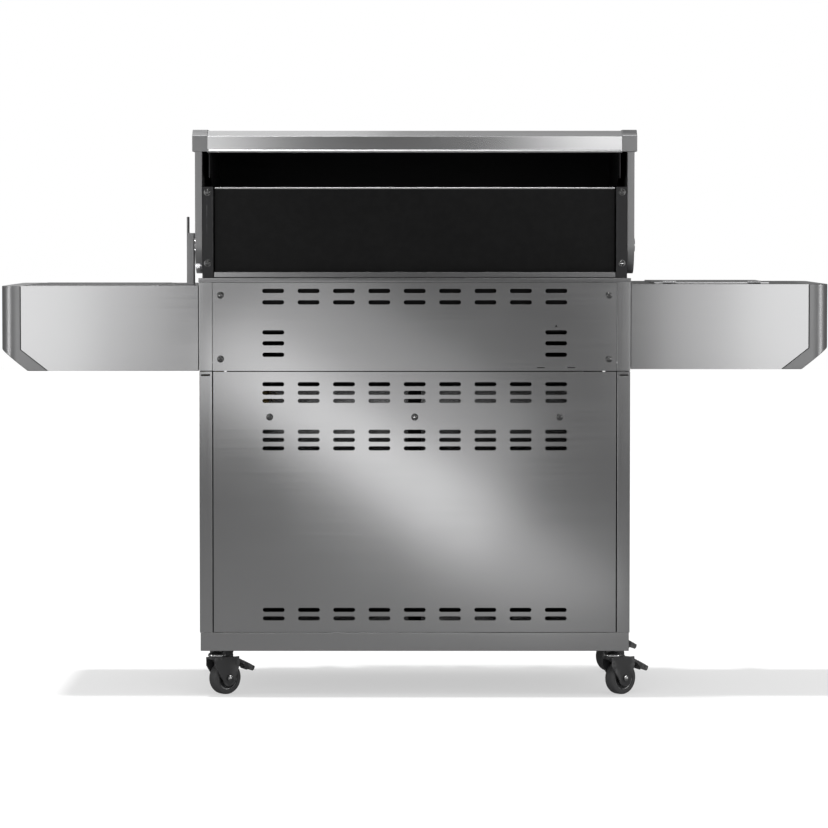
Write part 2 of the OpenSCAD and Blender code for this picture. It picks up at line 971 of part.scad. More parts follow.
module right_shelf() {
    color(steel)
    difference() {
        union() {
            shelf_body(right_shelf_z);
            // Raised work area
            deck_panel(0, right_deck - sheet, right_deck + deck_rise);
        }
        deck_panel(sheet, right_deck - sheet - 1, right_deck + deck_rise - sheet);
    }
}

// The right deck's raised area from z0 to z1, pulled in by i
module deck_panel(i, z0, z1) {
    block([deck_x0 + i, shelf_front + 25 + i, z0], [deck_x1 - i, shelf_rear - 25 - i, z1]);
}

module left_shelf() {
    color(steel)
    difference() {
        mirror([1, 0, 0]) shelf_body(left_shelf_z);
        block([side_x - side_w / 2, side_y - side_d / 2, left_deck - 10],
              [side_x + side_w / 2, side_y + side_d / 2, left_deck + 1]);
        rod_y(side_x, side_knob_z, shelf_front - 1, shelf_front + 4, stem_r + 3);
    }
}

// Pan, burner head, feed pipe and valve of the side burner
module side_burner() {
    half_w = side_w / 2 - gap;
    half_d = side_d / 2 - gap;
    low = left_deck - side_depth;
    rim_z = left_deck - sheet;
    color(steel) {
        difference() {
            union() {
                block([side_x - half_w, side_y - half_d, low],
                      [side_x + half_w, side_y + half_d, left_deck - 0.2]);
                block([side_x - half_w - 12, side_y - half_d - 12, rim_z - sheet],
                      [side_x + half_w + 12, side_y + half_d + 12, rim_z]);
            }
            block([side_x - half_w + sheet, side_y - half_d + sheet, low + sheet],
                  [side_x + half_w - sheet, side_y + half_d - sheet, left_deck + 1]);
        }
        translate([side_x, side_y, low + bite]) cylinder(r = 20, h = 14);
        translate([side_x, side_y, low + 14]) cylinder(r = 44, h = 10);
        translate([side_x, side_y, low + 23]) cylinder(r1 = 38, r2 = 32, h = 7);
        translate([side_x, side_y, side_knob_z]) cylinder(r = 9, h = low - side_knob_z + 1);
        rod_y(side_x, side_knob_z, shelf_front + 30, side_y + 9, 9);
        block([side_x - 13, shelf_front + 6, side_knob_z - 13],
              [side_x + 13, shelf_front + 32, side_knob_z + 13]);
        rod_y(side_x, side_knob_z, shelf_front - bezel_t - gap - 15, shelf_front + 7, stem_r);
    }
}

module side_burner_grate() {
    top = left_deck - 2;
    low = left_deck - side_depth + sheet;
    hw = 104;
    hd = 146;
    color(iron)
    translate([side_x, side_y, 0]) {
        difference() {
            block([-hw, -hd, top - 8], [hw, hd, top]);
            block([-hw + 8, -hd + 8, top - 9], [hw - 8, hd - 8, top + 1]);
        }
        for (a = [0, 90, 180, 270])
            rotate(a)
                block([34, -3.5, top - 8], [(a % 180 == 0 ? hw : hd) - 4, 3.5, top]);
        for (x = [-hw, hw - 8], y = [-hd, hd - 8])
            block([x, y, low], [x + 8, y + 8, top - 4]);
    }
}

module side_burner_lid() {
    half = side_lid_w / 2;
    y0 = side_y - side_lid_d / 2;
    y1 = side_y + side_lid_d / 2;
    color(bright_steel) {
        block([side_x - half, y0, side_lid_z], [side_x + half, y1, side_lid_z + side_lid_t]);
        for (x = [side_x - 90, side_x + 90])
            difference() {
                union() {
                    rod_x(side_hinge_y, side_hinge_z, x - 14, x + 14, 3);
                    block([x - 14, y1 - bite, side_lid_z + 0.5],
                          [x + 14, side_hinge_y, side_lid_z + side_lid_t]);
                }
                rod_x(side_hinge_y, side_hinge_z, x - 15, x + 15, 1.5 + fit);
            }
    }
}

// Flanged bracket for a spit motor, standing on the right shelf
module spit_motor_bracket() {
    x0 = 477;
    x1 = 492;
    half_d = 27;
    flange_top = 978;
    color(casting)
    difference() {
        union() {
            block([x1 - 3, spit_y - half_d, right_deck], [x1, spit_y + half_d, 1013]);
            for (y = [spit_y - half_d, spit_y + half_d - 3])
                block([x0, y, right_deck], [x1, y + 3, flange_top]);
            block([x0, spit_y - half_d, right_deck],
                  [x1 + 26, spit_y + half_d, right_deck + 3]);
        }
        rod_x(spit_y, spit_z, x0 - 1, x1 + 1, spit_r);
        rod_x(spit_y, 990, x1 - 5, x1 + 1, 4);
        block([x1 - 5, spit_y - 4, 990], [x1 + 1, spit_y + 4, 1014]);
    }
}

// ---- Casters ----

function caster_place(i) = [
    i % 2 == 0 ? caster_x : -caster_x,
    i < 2 ? caster_rear : caster_front,
    0
];

// A caster's piece, drawn with its wheel trailing along +X from the swivel axis
module at_caster(i) {
    translate(caster_place(i)) rotate(caster_turn[i]) children();
}

// Corner plates with the fixed stems that the forks swivel on
module caster_mounts() {
    color(charcoal)
    for (i = [0 : 3])
        translate(caster_place(i)) {
            inner = i % 2 == 0 ? -1 : 1;
            block([min(40 * inner, -28 * inner), -36, tray_z],
                  [max(40 * inner, -28 * inner), 36, tray_z + 3]);
            cylinder_between(12, tray_z + 2, tray_z + 18);
            cylinder_between(6, 72, tray_z + 3);
            cylinder_between(11, fork_hub + gap, fork_hub + 2.5);
            cylinder_between(9, 71, fork_top - 4 - gap);
        }
}

module cylinder_between(r, z0, z1) {
    translate([0, 0, z0]) cylinder(r = r, h = z1 - z0);
}

// Side view of one fork leg
module fork_leg() {
    polygon([
        [-16, fork_top], [48, fork_top], [50, 64], [trail + 16.5, wheel_r - 4],
        [trail - 16.5, wheel_r - 4], [-16, 62]
    ]);
    translate([trail, wheel_r]) circle(r = 17);
}

module fork(i) {
    color(rubber)
    at_caster(i)
    difference() {
        union() {
            for (y = [fork_in, -fork_in - fork_t])
                from_front(y, y + fork_t) fork_leg();
            block([-16, -fork_in - fork_t, fork_top - 4], [48, fork_in + fork_t, fork_top]);
            cylinder_between(17, fork_top - 4, fork_hub);
            rod_y(trail, wheel_r, -fork_in - 1, fork_in + 1, 4);
            for (y = [-fork_in - fork_t - 3, fork_in + fork_t])
                rod_y(trail, wheel_r, y, y + 3, 6.5);
            rod_y(brake_x, brake_z, -fork_in - 1, fork_in + 1, 2.5);
        }
        cylinder_between(6 + fit, fork_top - 5, fork_hub + 1);
        // Room for the brake pedal's hub and its arm
        block([brake_x - 7, -fork_in, fork_top - 5], [50, fork_in, fork_top + 1]);
    }
}

module wheel(i) {
    tread = 3;
    half = wheel_w / 2;
    color(rubber)
    at_caster(i)
    translate([trail, 0, wheel_r]) rotate([90, 0, 0])
        rotate_extrude($fn = 96)
            polygon([
                [4.06, -13.2], [9, -13.2], [10, -half + 3], [24, -half + 3], [26, -half],
                [wheel_r - tread, -half], [wheel_r, -half + tread], [wheel_r, half - tread],
                [wheel_r - tread, half], [26, half], [24, half - 3], [10, half - 3],
                [9, 13.2], [4.06, 13.2]
            ]);
}

// Brake pedal: a hub on the fork's cross pin and a tread plate that slopes down
module brake(i) {
    half = 11;
    color(iron)
    at_caster(i)
    difference() {
        union() {
            rod_y(brake_x, brake_z, -half - 1.5, half + 1.5, 4.7);
            from_front(-half, half)
                polygon([
                    [brake_x, brake_z + 4.5], [brake_x + 10, brake_z + 4], [94, 54],
                    [94, 50], [brake_x + 10, brake_z - 4.5], [brake_x, brake_z - 4.5]
                ]);
        }
        rod_y(brake_x, brake_z, -half - 3, half + 3, 2.5 + fit);
    }
}

base_tray();
side_panel(1);  // side_panel_right
side_panel(-1);  // side_panel_left
upper_side_panels();
rear_lower_panel();
rear_upper_panel();
rear_top_rail();
panel_screws();
front_frame();
control_panel();
knob_bezels();
firebox();
firebox_rear_wall();
hinge_posts();
main_burners();
flame_tamers();
cooking_grids();
gas_manifold();
warming_rack();
right_shelf();
shelf_cap(1, right_shelf_z);  // right_shelf_cap
left_shelf();
shelf_cap(-1, left_shelf_z);  // left_shelf_cap
side_burner();
side_burner_grate();
spit_motor_bracket();
caster_mounts();
drip_tray();
lid_shell();
lid_liner();
lid_cap(1);  // lid_cap_right
lid_cap(-1);  // lid_cap_left
lid_handle();
lid_handle_brackets();
lid_hinge_pins();
gauge_body();
gauge_needle();
door(1);  // door_right
door(-1);  // door_left
door_handle(1);  // door_handle_right
door_handle(-1);  // door_handle_left
numbered_knob(0);  // knob_1
numbered_knob(1);  // knob_2
numbered_knob(2);  // knob_3
numbered_knob(3);  // knob_4
numbered_knob(4);  // knob_5
knob(side_x, side_knob_z, shelf_front - bezel_t - gap);  // side_burner_knob
side_burner_lid();
fork(0);  // fork_rear_right
wheel(0);  // wheel_rear_right
brake(0);  // brake_rear_right
fork(1);  // fork_rear_left
wheel(1);  // wheel_rear_left
brake(1);  // brake_rear_left
fork(2);  // fork_front_right
wheel(2);  // wheel_front_right
brake(2);  // brake_front_right
fork(3);  // fork_front_left
wheel(3);  // wheel_front_left
brake(3);  // brake_front_left
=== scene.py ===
import json
import math

import bmesh
import bpy
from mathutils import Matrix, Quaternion, Vector


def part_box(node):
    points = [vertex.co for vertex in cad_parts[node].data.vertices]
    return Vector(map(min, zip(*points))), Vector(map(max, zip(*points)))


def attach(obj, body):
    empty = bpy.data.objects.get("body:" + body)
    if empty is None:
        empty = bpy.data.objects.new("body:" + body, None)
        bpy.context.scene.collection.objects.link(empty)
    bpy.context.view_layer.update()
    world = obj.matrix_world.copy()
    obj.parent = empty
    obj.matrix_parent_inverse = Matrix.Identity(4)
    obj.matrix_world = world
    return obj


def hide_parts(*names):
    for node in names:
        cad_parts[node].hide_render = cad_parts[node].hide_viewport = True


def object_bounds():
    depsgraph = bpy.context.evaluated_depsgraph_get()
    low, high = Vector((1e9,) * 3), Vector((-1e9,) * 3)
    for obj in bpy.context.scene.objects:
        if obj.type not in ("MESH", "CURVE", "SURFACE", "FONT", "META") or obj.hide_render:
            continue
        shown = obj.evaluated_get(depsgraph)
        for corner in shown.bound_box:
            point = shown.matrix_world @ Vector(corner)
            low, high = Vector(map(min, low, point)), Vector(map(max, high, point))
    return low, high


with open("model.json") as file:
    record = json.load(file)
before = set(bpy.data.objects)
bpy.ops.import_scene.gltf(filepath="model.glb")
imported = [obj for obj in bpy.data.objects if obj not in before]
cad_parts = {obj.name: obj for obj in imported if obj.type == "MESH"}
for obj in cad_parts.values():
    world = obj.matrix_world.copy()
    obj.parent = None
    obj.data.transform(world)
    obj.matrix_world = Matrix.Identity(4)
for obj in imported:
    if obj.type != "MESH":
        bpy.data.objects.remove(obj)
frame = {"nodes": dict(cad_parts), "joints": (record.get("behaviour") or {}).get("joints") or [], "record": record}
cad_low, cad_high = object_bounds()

MM = 0.001

# ---------------------------------------------------------------- camera

LENS_MM = 165.65
SENSOR_MM = 36
FAR_CLIP = 60
EYE = Vector((0.0015, 8.29, 0.991))
TILT = math.radians(2.81)


def set_up_camera():
    data = bpy.data.cameras.new("eye")
    data.lens = LENS_MM
    data.sensor_width = SENSOR_MM
    data.clip_end = FAR_CLIP
    eye = bpy.data.objects.new("eye", data)
    eye.location = EYE
    eye.rotation_euler = (math.radians(90) - TILT, 0, math.radians(180))
    bpy.context.scene.collection.objects.link(eye)
    bpy.context.scene.camera = eye


# ---------------------------------------------------------------- shader building


class Wiring:
    """Adds nodes to one node tree and links them, so that a finish reads top to bottom."""

    def __init__(self, tree):
        self.tree = tree

    def node(self, kind, **settings):
        made = self.tree.nodes.new(kind)
        for key, value in settings.items():
            setattr(made, key, value)
        return made

    def link(self, source, target):
        self.tree.links.new(source, target)

    def feed(self, socket, value):
        if isinstance(value, bpy.types.NodeSocket):
            self.link(value, socket)
        else:
            socket.default_value = value

    def math(self, operation, a, b=0.0):
        made = self.node("ShaderNodeMath", operation=operation)
        self.feed(made.inputs[0], a)
        self.feed(made.inputs[1], b)
        return made.outputs[0]

    def noise(self, vector, scale, detail=2.0, roughness=0.5):
        made = self.node("ShaderNodeTexNoise")
        self.link(vector, made.inputs["Vector"])
        self.feed(made.inputs["Scale"], scale)
        made.inputs["Detail"].default_value = detail
        made.inputs["Roughness"].default_value = roughness
        return made.outputs["Fac"]

    def stretch(self, vector, scale):
        made = self.node("ShaderNodeVectorMath", operation="MULTIPLY")
        self.link(vector, made.inputs[0])
        self.feed(made.inputs[1], scale)
        return made.outputs[0]

    def remap(self, value, low, high, to_low=0.0, to_high=1.0):
        made = self.node("ShaderNodeMapRange")
        made.clamp = True
        self.feed(made.inputs["Value"], value)
        made.inputs["From Min"].default_value = low
        made.inputs["From Max"].default_value = high
        self.feed(made.inputs["To Min"], to_low)
        self.feed(made.inputs["To Max"], to_high)
        return made.outputs["Result"]

    def blend(self, factor, a, b):
        made = self.node("ShaderNodeMix", data_type="RGBA")
        self.feed(made.inputs[0], factor)
        self.feed(made.inputs[6], a)
        self.feed(made.inputs[7], b)
        return made.outputs[2]

    def bump(self, height, strength, distance, normal=None):
        made = self.node("ShaderNodeBump")
        self.link(height, made.inputs["Height"])
        self.feed(made.inputs["Strength"], strength)
        self.feed(made.inputs["Distance"], distance)
        if normal is not None:
            self.link(normal, made.inputs["Normal"])
        return made.outputs["Normal"]


def effect_group(name, inputs, outputs):
    tree = bpy.data.node_groups.new(name, "ShaderNodeTree")
    for label, kind, value in inputs:
        made = tree.interface.new_socket(label, in_out="INPUT", socket_type=kind)
        made.default_value = value
    for label, kind in outputs:
        tree.interface.new_socket(label, in_out="OUTPUT", socket_type=kind)
    wire = Wiring(tree)
    into = wire.node("NodeGroupInput").outputs
    out_of = wire.node("NodeGroupOutput").inputs
    place = wire.node("ShaderNodeTexCoord").outputs["Object"]
    return tree, wire, into, out_of, place


FLOAT, VECTOR, COLOR = "NodeSocketFloat", "NodeSocketVector", "NodeSocketColor"


def brushed_grain():
    """Fine lines left by a polishing belt, long along one direction."""
    tree, wire, into, out_of, place = effect_group(
        "brushed_grain",
        [("Stretch", VECTOR, (4.0, 500.0, 500.0)), ("Roughness", FLOAT, 0.3),
         ("Spread", FLOAT, 0.06), ("Depth", FLOAT, 0.1)],
        [("Lines", FLOAT), ("Roughness", FLOAT), ("Normal", VECTOR)])
    fine = wire.noise(wire.stretch(place, into["Stretch"]), 1.0, 3.0, 0.7)
    broad = wire.noise(wire.stretch(place, into["Stretch"]), 0.23, 1.0)
    lines = wire.math("ADD", wire.math("MULTIPLY", fine, 0.6), wire.math("MULTIPLY", broad, 0.4))
    swing = wire.math("MULTIPLY", wire.math("SUBTRACT", lines, 0.5), into["Spread"])
    wire.link(lines, out_of["Lines"])
    wire.link(wire.math("ADD", into["Roughness"], swing), out_of["Roughness"])
    wire.link(wire.bump(lines, into["Depth"], 0.00012), out_of["Normal"])
    return tree


def handling_marks():
    """Soft cloudy patches where sheet has been wiped and handled."""
    tree, wire, into, out_of, place = effect_group(
        "handling_marks",
        [("Size", FLOAT, 3.0), ("Roughness", FLOAT, 0.3), ("Amount", FLOAT, 0.05)],
        [("Clouds", FLOAT), ("Roughness", FLOAT)])
    broad = wire.noise(place, into["Size"], 3.0, 0.6)
    clouds = wire.remap(broad, 0.35, 0.7)
    wire.link(clouds, out_of["Clouds"])
    wire.link(wire.math("ADD", into["Roughness"], wire.math("MULTIPLY", clouds, into["Amount"])),
              out_of["Roughness"])
    return tree


def cast_skin():
    """Pebbled surface of a sand casting or a powder coat."""
    tree, wire, into, out_of, place = effect_group(
        "cast_skin",
        [("Pebble", FLOAT, 700.0), ("Depth", FLOAT, 0.2), ("Height", FLOAT, 0.0002)],
        [("Pebbles", FLOAT), ("Normal", VECTOR)])
    small = wire.noise(place, into["Pebble"], 2.0, 0.6)
    large = wire.noise(place, wire.math("MULTIPLY", into["Pebble"], 0.12), 1.0)
    pebbles = wire.math("ADD", wire.math("MULTIPLY", small, 0.7), wire.math("MULTIPLY", large, 0.3))
    wire.link(pebbles, out_of["Pebbles"])
    wire.link(wire.bump(pebbles, into["Depth"], into["Height"]), out_of["Normal"])
    return tree


def edge_wear_and_highlight():
    """Mask that is high on corners, for rubbed wear and for a painted edge highlight, and broken up by a fine
    pattern.
    """
    tree, wire, into, out_of, place = effect_group(
        "edge_wear_and_highlight",
        [("Start", FLOAT, 0.54), ("Break Up", FLOAT, 60.0)],
        [("Wear And Highlight", FLOAT)])
    corner = wire.node("ShaderNodeNewGeometry").outputs["Pointiness"]
    made = wire.node("ShaderNodeMapRange")
    wire.link(corner, made.inputs["Value"])
    wire.link(into["Start"], made.inputs["From Min"])
    wire.link(wire.math("ADD", into["Start"], 0.08), made.inputs["From Max"])
    broken = wire.remap(wire.noise(place, into["Break Up"], 3.0, 0.65), 0.42, 0.6)
    wire.link(wire.math("MULTIPLY", made.outputs["Result"], broken), out_of["Wear And Highlight"])
    return tree


def heat_tint():
    """Straw, brown and blue bands that a flame leaves on bare steel."""
    tree, wire, into, out_of, place = effect_group(
        "heat_tint",
        [("Size", FLOAT, 7.0), ("Base", COLOR, (0.5, 0.48, 0.45, 1.0))],
        [("Color", COLOR), ("Heat", FLOAT)])
    heat = wire.remap(wire.noise(place, into["Size"], 3.0, 0.6), 0.35, 0.72)
    ramp = wire.node("ShaderNodeValToRGB")
    wire.link(heat, ramp.inputs[0])
    ramp.color_ramp.elements[0].position = 0.2
    ramp.color_ramp.elements[0].color = (1.0, 1.0, 1.0, 1.0)
    ramp.color_ramp.elements[1].position = 1.0
    ramp.color_ramp.elements[1].color = (0.34, 0.36, 0.46, 1.0)
    for position, tint in ((0.5, (0.86, 0.70, 0.45, 1.0)), (0.75, (0.5, 0.34, 0.27, 1.0))):
        ramp.color_ramp.elements.new(position).color = tint
    made = wire.node("ShaderNodeMix", data_type="RGBA", blend_type="MULTIPLY")
    made.inputs[0].default_value = 1.0
    wire.link(into["Base"], made.inputs[6])
    wire.link(ramp.outputs["Color"], made.inputs[7])
    wire.link(made.outputs[2], out_of["Color"])
    wire.link(heat, out_of["Heat"])
    return tree


GROUPS = {made.name: made for made in
          (brushed_grain(), handling_marks(), cast_skin(), edge_wear_and_highlight(), heat_tint())}


class Finish(Wiring):
    """One material: its Principled shader stays here, and shared effects come in as groups."""

    def __init__(self, name, metallic, roughness, **fixed):
        self.material = bpy.data.materials.new(name)
        self.material.use_nodes = True
        super().__init__(self.material.node_tree)
        self.shader = self.tree.nodes["Principled BSDF"]
        self.shader.inputs["Metallic"].default_value = metallic
        self.shader.inputs["Roughness"].default_value = roughness
        for key, value in fixed.items():
            self.shader.inputs[key.replace("_", " ")].default_value = value

    def effect(self, name, **values):
        made = self.node("ShaderNodeGroup", node_tree=GROUPS[name])
        for key, value in values.items():
            self.feed(made.inputs[key.replace("_", " ")], value)
        return made.outputs

    def set(self, key, value):
        self.feed(self.shader.inputs[key], value)


def brushed_sheet(name, shade, roughness, along, depth=0.04, spread=0.06):
    """Satin or bright sheet steel, brushed along the direction where the stretch is small."""
    steel = Finish(name, 1.0, roughness)
    marks = steel.effect("handling_marks", Size=2.4, Roughness=roughness, Amount=0.03)
    grain = steel.effect("brushed_grain", Stretch=along, Roughness=marks["Roughness"],
                         Spread=spread, Depth=depth)
    tone = steel.math("ADD", steel.math("MULTIPLY", grain["Lines"], 0.8),
                      steel.math("MULTIPLY", marks["Clouds"], 0.2))
    low = tuple(c * 0.93 for c in shade) + (1.0,)
    high = tuple(min(c * 1.05, 1.0) for c in shade) + (1.0,)
    steel.set("Base Color", steel.blend(tone, low, high))
    steel.set("Roughness", grain["Roughness"])
    steel.set("Normal", grain["Normal"])
    return steel.material


def painted(name, shade, wear_and_highlight_shade, roughness, metallic, pebble, depth, height, wear_and_highlight_start=0.56, **fixed):
    """Painted, powder coated or enamelled metal with a pebbled skin, and corners lightened partly by rubbed wear
    and partly as a painted highlight.
    """
    paint = Finish(name, metallic, roughness, **fixed)
    skin = paint.effect("cast_skin", Pebble=pebble, Depth=depth, Height=height)
    marks = paint.effect("handling_marks", Size=5.0, Roughness=roughness, Amount=0.08)
    # corner mask: the lighter colour it brings is partly rubbed wear and partly a painted edge highlight
    wear_and_highlight = paint.effect("edge_wear_and_highlight", Start=wear_and_highlight_start, Break_Up=70.0)
    low = tuple(c * 0.9 for c in shade) + (1.0,)
    high = tuple(c * 1.1 for c in shade) + (1.0,)
    tone = paint.math("MULTIPLY", paint.math("ADD", skin["Pebbles"], marks["Clouds"]), 0.5)
    body = paint.blend(tone, low, high)
    paint.set("Base Color", paint.blend(wear_and_highlight["Wear And Highlight"], body, tuple(wear_and_highlight_shade) + (1.0,)))
    paint.set("Roughness", marks["Roughness"])
    paint.set("Normal", skin["Normal"])
    return paint.material


ALONG_X = (5.0, 420.0, 420.0)
ALONG_Z = (420.0, 420.0, 5.0)


def make_finishes():
    made = {
        "satin_steel": brushed_sheet("satin_steel_x", (0.60, 0.60, 0.605), 0.16, ALONG_X),
        "satin_steel_z": brushed_sheet("satin_steel_z", (0.60, 0.60, 0.605), 0.16, ALONG_Z),
        "lid_steel": brushed_sheet("lid_steel", (0.64, 0.64, 0.645), 0.2, ALONG_X),
        # the top rail's steel is a darker copy of the satin steel, darkened to give the shade on its flange:
        # painted shade
        "rail_steel_painted_shade": brushed_sheet("rail_steel_painted_shade", (0.42, 0.42, 0.425), 0.18, ALONG_X, 0.02),
        "bright_steel": brushed_sheet("bright_steel_x", (0.78, 0.78, 0.78), 0.18, ALONG_X, 0.03),
        "screw_steel": brushed_sheet("screw_steel", (0.17, 0.17, 0.17), 0.2, (900, 900, 900), 0.1),
        "cast_aluminium": painted("cast_aluminium", (0.30, 0.30, 0.303), (0.34, 0.34, 0.34),
                                  0.32, 0.9, 800.0, 0.2, 0.0002, wear_and_highlight_start=0.6),
        "black_enamel": painted("black_enamel", (0.004, 0.004, 0.0042), (0.012, 0.012, 0.012),
                                0.3, 0.0, 160.0, 0.12, 0.0003, Specular_IOR_Level=0.15),
        "liner_enamel": painted("liner_enamel", (0.022, 0.022, 0.023), (0.04, 0.04, 0.04),
                                0.35, 0.0, 160.0, 0.12, 0.0003),
        "charcoal_paint": painted("charcoal_paint", (0.017, 0.017, 0.018), (0.1, 0.1, 0.1),
                                  0.42, 0.1, 950.0, 0.18, 0.00015, Specular_IOR_Level=0.35),
        "cast_iron": painted("cast_iron", (0.06, 0.058, 0.055), (0.11, 0.1, 0.09),
                             0.5, 0.2, 420.0, 0.5, 0.0004),
        # the casters' light grey edge colour is partly rubbed wear and partly a painted highlight
        "caster_black": painted("caster_black", (0.026, 0.026, 0.027), (0.2, 0.2, 0.2),
                                0.3, 0.2, 700.0, 0.12, 0.0001, wear_and_highlight_start=0.53,
                                Coat_Weight=0.6, Coat_Roughness=0.08),
        "knob_finish": painted("knob_finish", (0.02, 0.02, 0.021), (0.05, 0.05, 0.05),
                               0.3, 0.0, 900.0, 0.1, 0.0001,
                               Coat_Weight=0.3, Coat_Roughness=0.12),
        "wheel_rubber": painted("wheel_rubber", (0.036, 0.036, 0.037), (0.05, 0.05, 0.05),
                                0.55, 0.0, 500.0, 0.3, 0.0002),
        "dial_black": painted("dial_black", (0.012, 0.012, 0.012), (0.02, 0.02, 0.02),
                              0.5, 0.0, 900.0, 0.08, 0.0001),
        "dial_white": painted("dial_white", (0.75, 0.75, 0.74), (0.8, 0.8, 0.8),
                              0.45, 0.0, 900.0, 0.08, 0.0001),
        "needle_red": painted("needle_red", (0.55, 0.02, 0.015), (0.7, 0.1, 0.08),
                              0.35, 0.0, 900.0, 0.1, 0.0001),
    }
    burnt = Finish("heat_steel", 0.9, 0.42)
    tint = burnt.effect("heat_tint", Size=7.0)
    skin = burnt.effect("cast_skin", Pebble=300.0, Depth=0.2, Height=0.0002)
    burnt.set("Base Color", tint["Color"])
    burnt.set("Roughness", burnt.remap(tint["Heat"], 0.0, 1.0, 0.34, 0.55))
    burnt.set("Normal", skin["Normal"])
    made["heat_steel"] = burnt.material
    made["brass"] = brushed_sheet("brass", (0.70, 0.50, 0.22), 0.3, (300, 300, 300), 0.15)
    return made


FINISHES = make_finishes()
SLOT_OF = {row["node"]: row["material_slot"] for row in frame["record"]["subparts"]}
BODY_OF = {node: body for body, nodes in frame["record"]["behaviour"]["bodies"].items()
           for node in nodes}

# ---------------------------------------------------------------- modelling helpers

SMOOTH_ANGLE = math.radians(42)
WELD = 0.000005
CAD_WELD = 0.00001
FLAT_ANGLE = math.radians(0.5)


def let_go():
    if bpy.context.mode != "OBJECT":
        bpy.ops.object.mode_set(mode="OBJECT")
    bpy.ops.object.select_all(action="DESELECT")


def hold(piece):
    let_go()
    piece.select_set(True)
    bpy.context.view_layer.objects.active = piece


def edit(piece):
    hold(piece)
    bpy.ops.object.mode_set(mode="EDIT")
    bpy.ops.mesh.select_mode(type="VERT")


def leave():
    bpy.ops.object.mode_set(mode="OBJECT")


def pick(piece, kind, wanted):
    """In edit mode, selects just the vertices, edges or faces that wanted() accepts."""
    bpy.ops.mesh.select_mode(type=kind)
    bpy.ops.mesh.select_all(action="DESELECT")
    shape = bmesh.from_edit_mesh(piece.data)
    parts = {"VERT": shape.verts, "EDGE": shape.edges, "FACE": shape.faces}[kind]
    for part in parts:
        if wanted(part):
            part.select_set(True)
    bmesh.update_edit_mesh(piece.data)


def settle(piece, place=(0, 0, 0), turn=None):
    """Moves a piece built at the origin to its place and leaves its object at the origin."""
    if turn is not None:
        piece.rotation_mode = "QUATERNION"
        piece.rotation_quaternion = turn
    piece.location = place
    hold(piece)
    bpy.ops.object.transform_apply(location=True, rotation=True, scale=True)
    piece.rotation_mode = "XYZ"
    return piece


def soften(piece, width, angle=30, segments=2):
    """Rounds the sharp edges and evens the shading of the flat faces."""
    hold(piece)
    if width:
        rounded = piece.modifiers.new("edge", "BEVEL")
        rounded.width = width
        rounded.segments = segments
        rounded.limit_method = "ANGLE"
        rounded.angle_limit = math.radians(angle)
        rounded.miter_outer = "MITER_ARC"
        rounded.use_clamp_overlap = True
        bpy.ops.object.modifier_apply(modifier=rounded.name)
    bpy.ops.object.shade_smooth_by_angle(angle=SMOOTH_ANGLE)
    even = piece.modifiers.new("even", "WEIGHTED_NORMAL")
    even.keep_sharp = True
    bpy.ops.object.modifier_apply(modifier=even.name)
    return piece


def boxed(name, low, high, width=0.0005):
    """A block between two corners with rounded edges."""
    let_go()
    low, high = Vector(low), Vector(high)
    bpy.ops.mesh.primitive_cube_add(size=1, location=(low + high) / 2)
    piece = bpy.context.object
    piece.name = piece.data.name = name
    piece.scale = high - low
    settle(piece, (low + high) / 2)
    return soften(piece, width)


def chain(name, points, closed):
    """A run of vertices through the points, in millimetres, left in edit mode all selected."""
    let_go()
    bpy.ops.mesh.primitive_circle_add(vertices=len(points), fill_type="NOTHING")
    piece = bpy.context.object
    piece.name = piece.data.name = name
    for vertex, point in zip(piece.data.vertices, points):
        vertex.co = Vector(point) * MM
    edit(piece)
    if not closed:
        last = len(points) - 1
        pick(piece, "EDGE", lambda e: {v.index for v in e.verts} == {0, last})
        bpy.ops.mesh.delete(type="EDGE_FACE")
        bpy.ops.mesh.select_mode(type="VERT")
    bpy.ops.mesh.select_all(action="SELECT")
    return piece


def close_up():
    """Turns every face of the piece being edited outward and goes back to object mode."""
    bpy.ops.mesh.select_all(action="SELECT")
    bpy.ops.mesh.normals_make_consistent(inside=False)
    leave()


def slab(name, outline, reach):
    """A flat outline in millimetres, filled and drawn out by a vector in metres."""
    piece = chain(name, outline, True)
    bpy.ops.mesh.edge_face_add()
    bpy.ops.mesh.extrude_region_move(TRANSFORM_OT_translate={"value": reach})
    close_up()
    return piece


def turned(name, profile, steps=48, closed=False):
    """Spins a profile of (radius, height) pairs in millimetres round Z."""
    piece = chain(name, [(r, 0, h) for r, h in profile], closed)
    bpy.ops.mesh.spin(steps=steps, angle=math.tau, center=(0, 0, 0), axis=(0, 0, 1))
    bpy.ops.mesh.select_all(action="SELECT")
    bpy.ops.mesh.remove_doubles(threshold=WELD)
    bpy.ops.mesh.dissolve_degenerate(threshold=WELD)
    close_up()
    return piece


def rolled(name, points, half, thickness):
    """Sheet bent to a run of (y, z) points in millimetres, reaching half its length each way."""
    piece = chain(name, [(-half, y, z) for y, z in points], False)
    bpy.ops.mesh.extrude_region_move(TRANSFORM_OT_translate={"value": (2 * half * MM, 0, 0)})
    close_up()
    hold(piece)
    wall = piece.modifiers.new("wall", "SOLIDIFY")
    wall.thickness = thickness * MM
    wall.offset = -1
    bpy.ops.object.modifier_apply(modifier=wall.name)
    return piece


def arc(y, z, r, start, stop, steps):
    """Points on an arc, from one angle to another in degrees."""
    turns = [math.radians(start + (stop - start) * i / steps) for i in range(steps + 1)]
    return [(y + r * math.cos(t), z + r * math.sin(t)) for t in turns]


def copy_of(piece, name):
    made = bpy.data.objects.new(name, piece.data.copy())
    bpy.context.scene.collection.objects.link(made)
    return made


def joined(name, parts):
    let_go()
    for part in parts:
        part.select_set(True)
    bpy.context.view_layer.objects.active = parts[0]
    bpy.ops.object.join()
    parts[0].name = parts[0].data.name = name
    return parts[0]


def dress(piece, slot, body, *nodes, finish=None):
    """Gives a finished piece its material, named by its finish or else its slot, parents it to its body and hides
    the CAD nodes it stands for.
    """
    piece.data.materials.clear()
    piece.data.materials.append(FINISHES[finish or slot])
    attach(piece, body)
    if nodes:
        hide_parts(*nodes)
    return piece


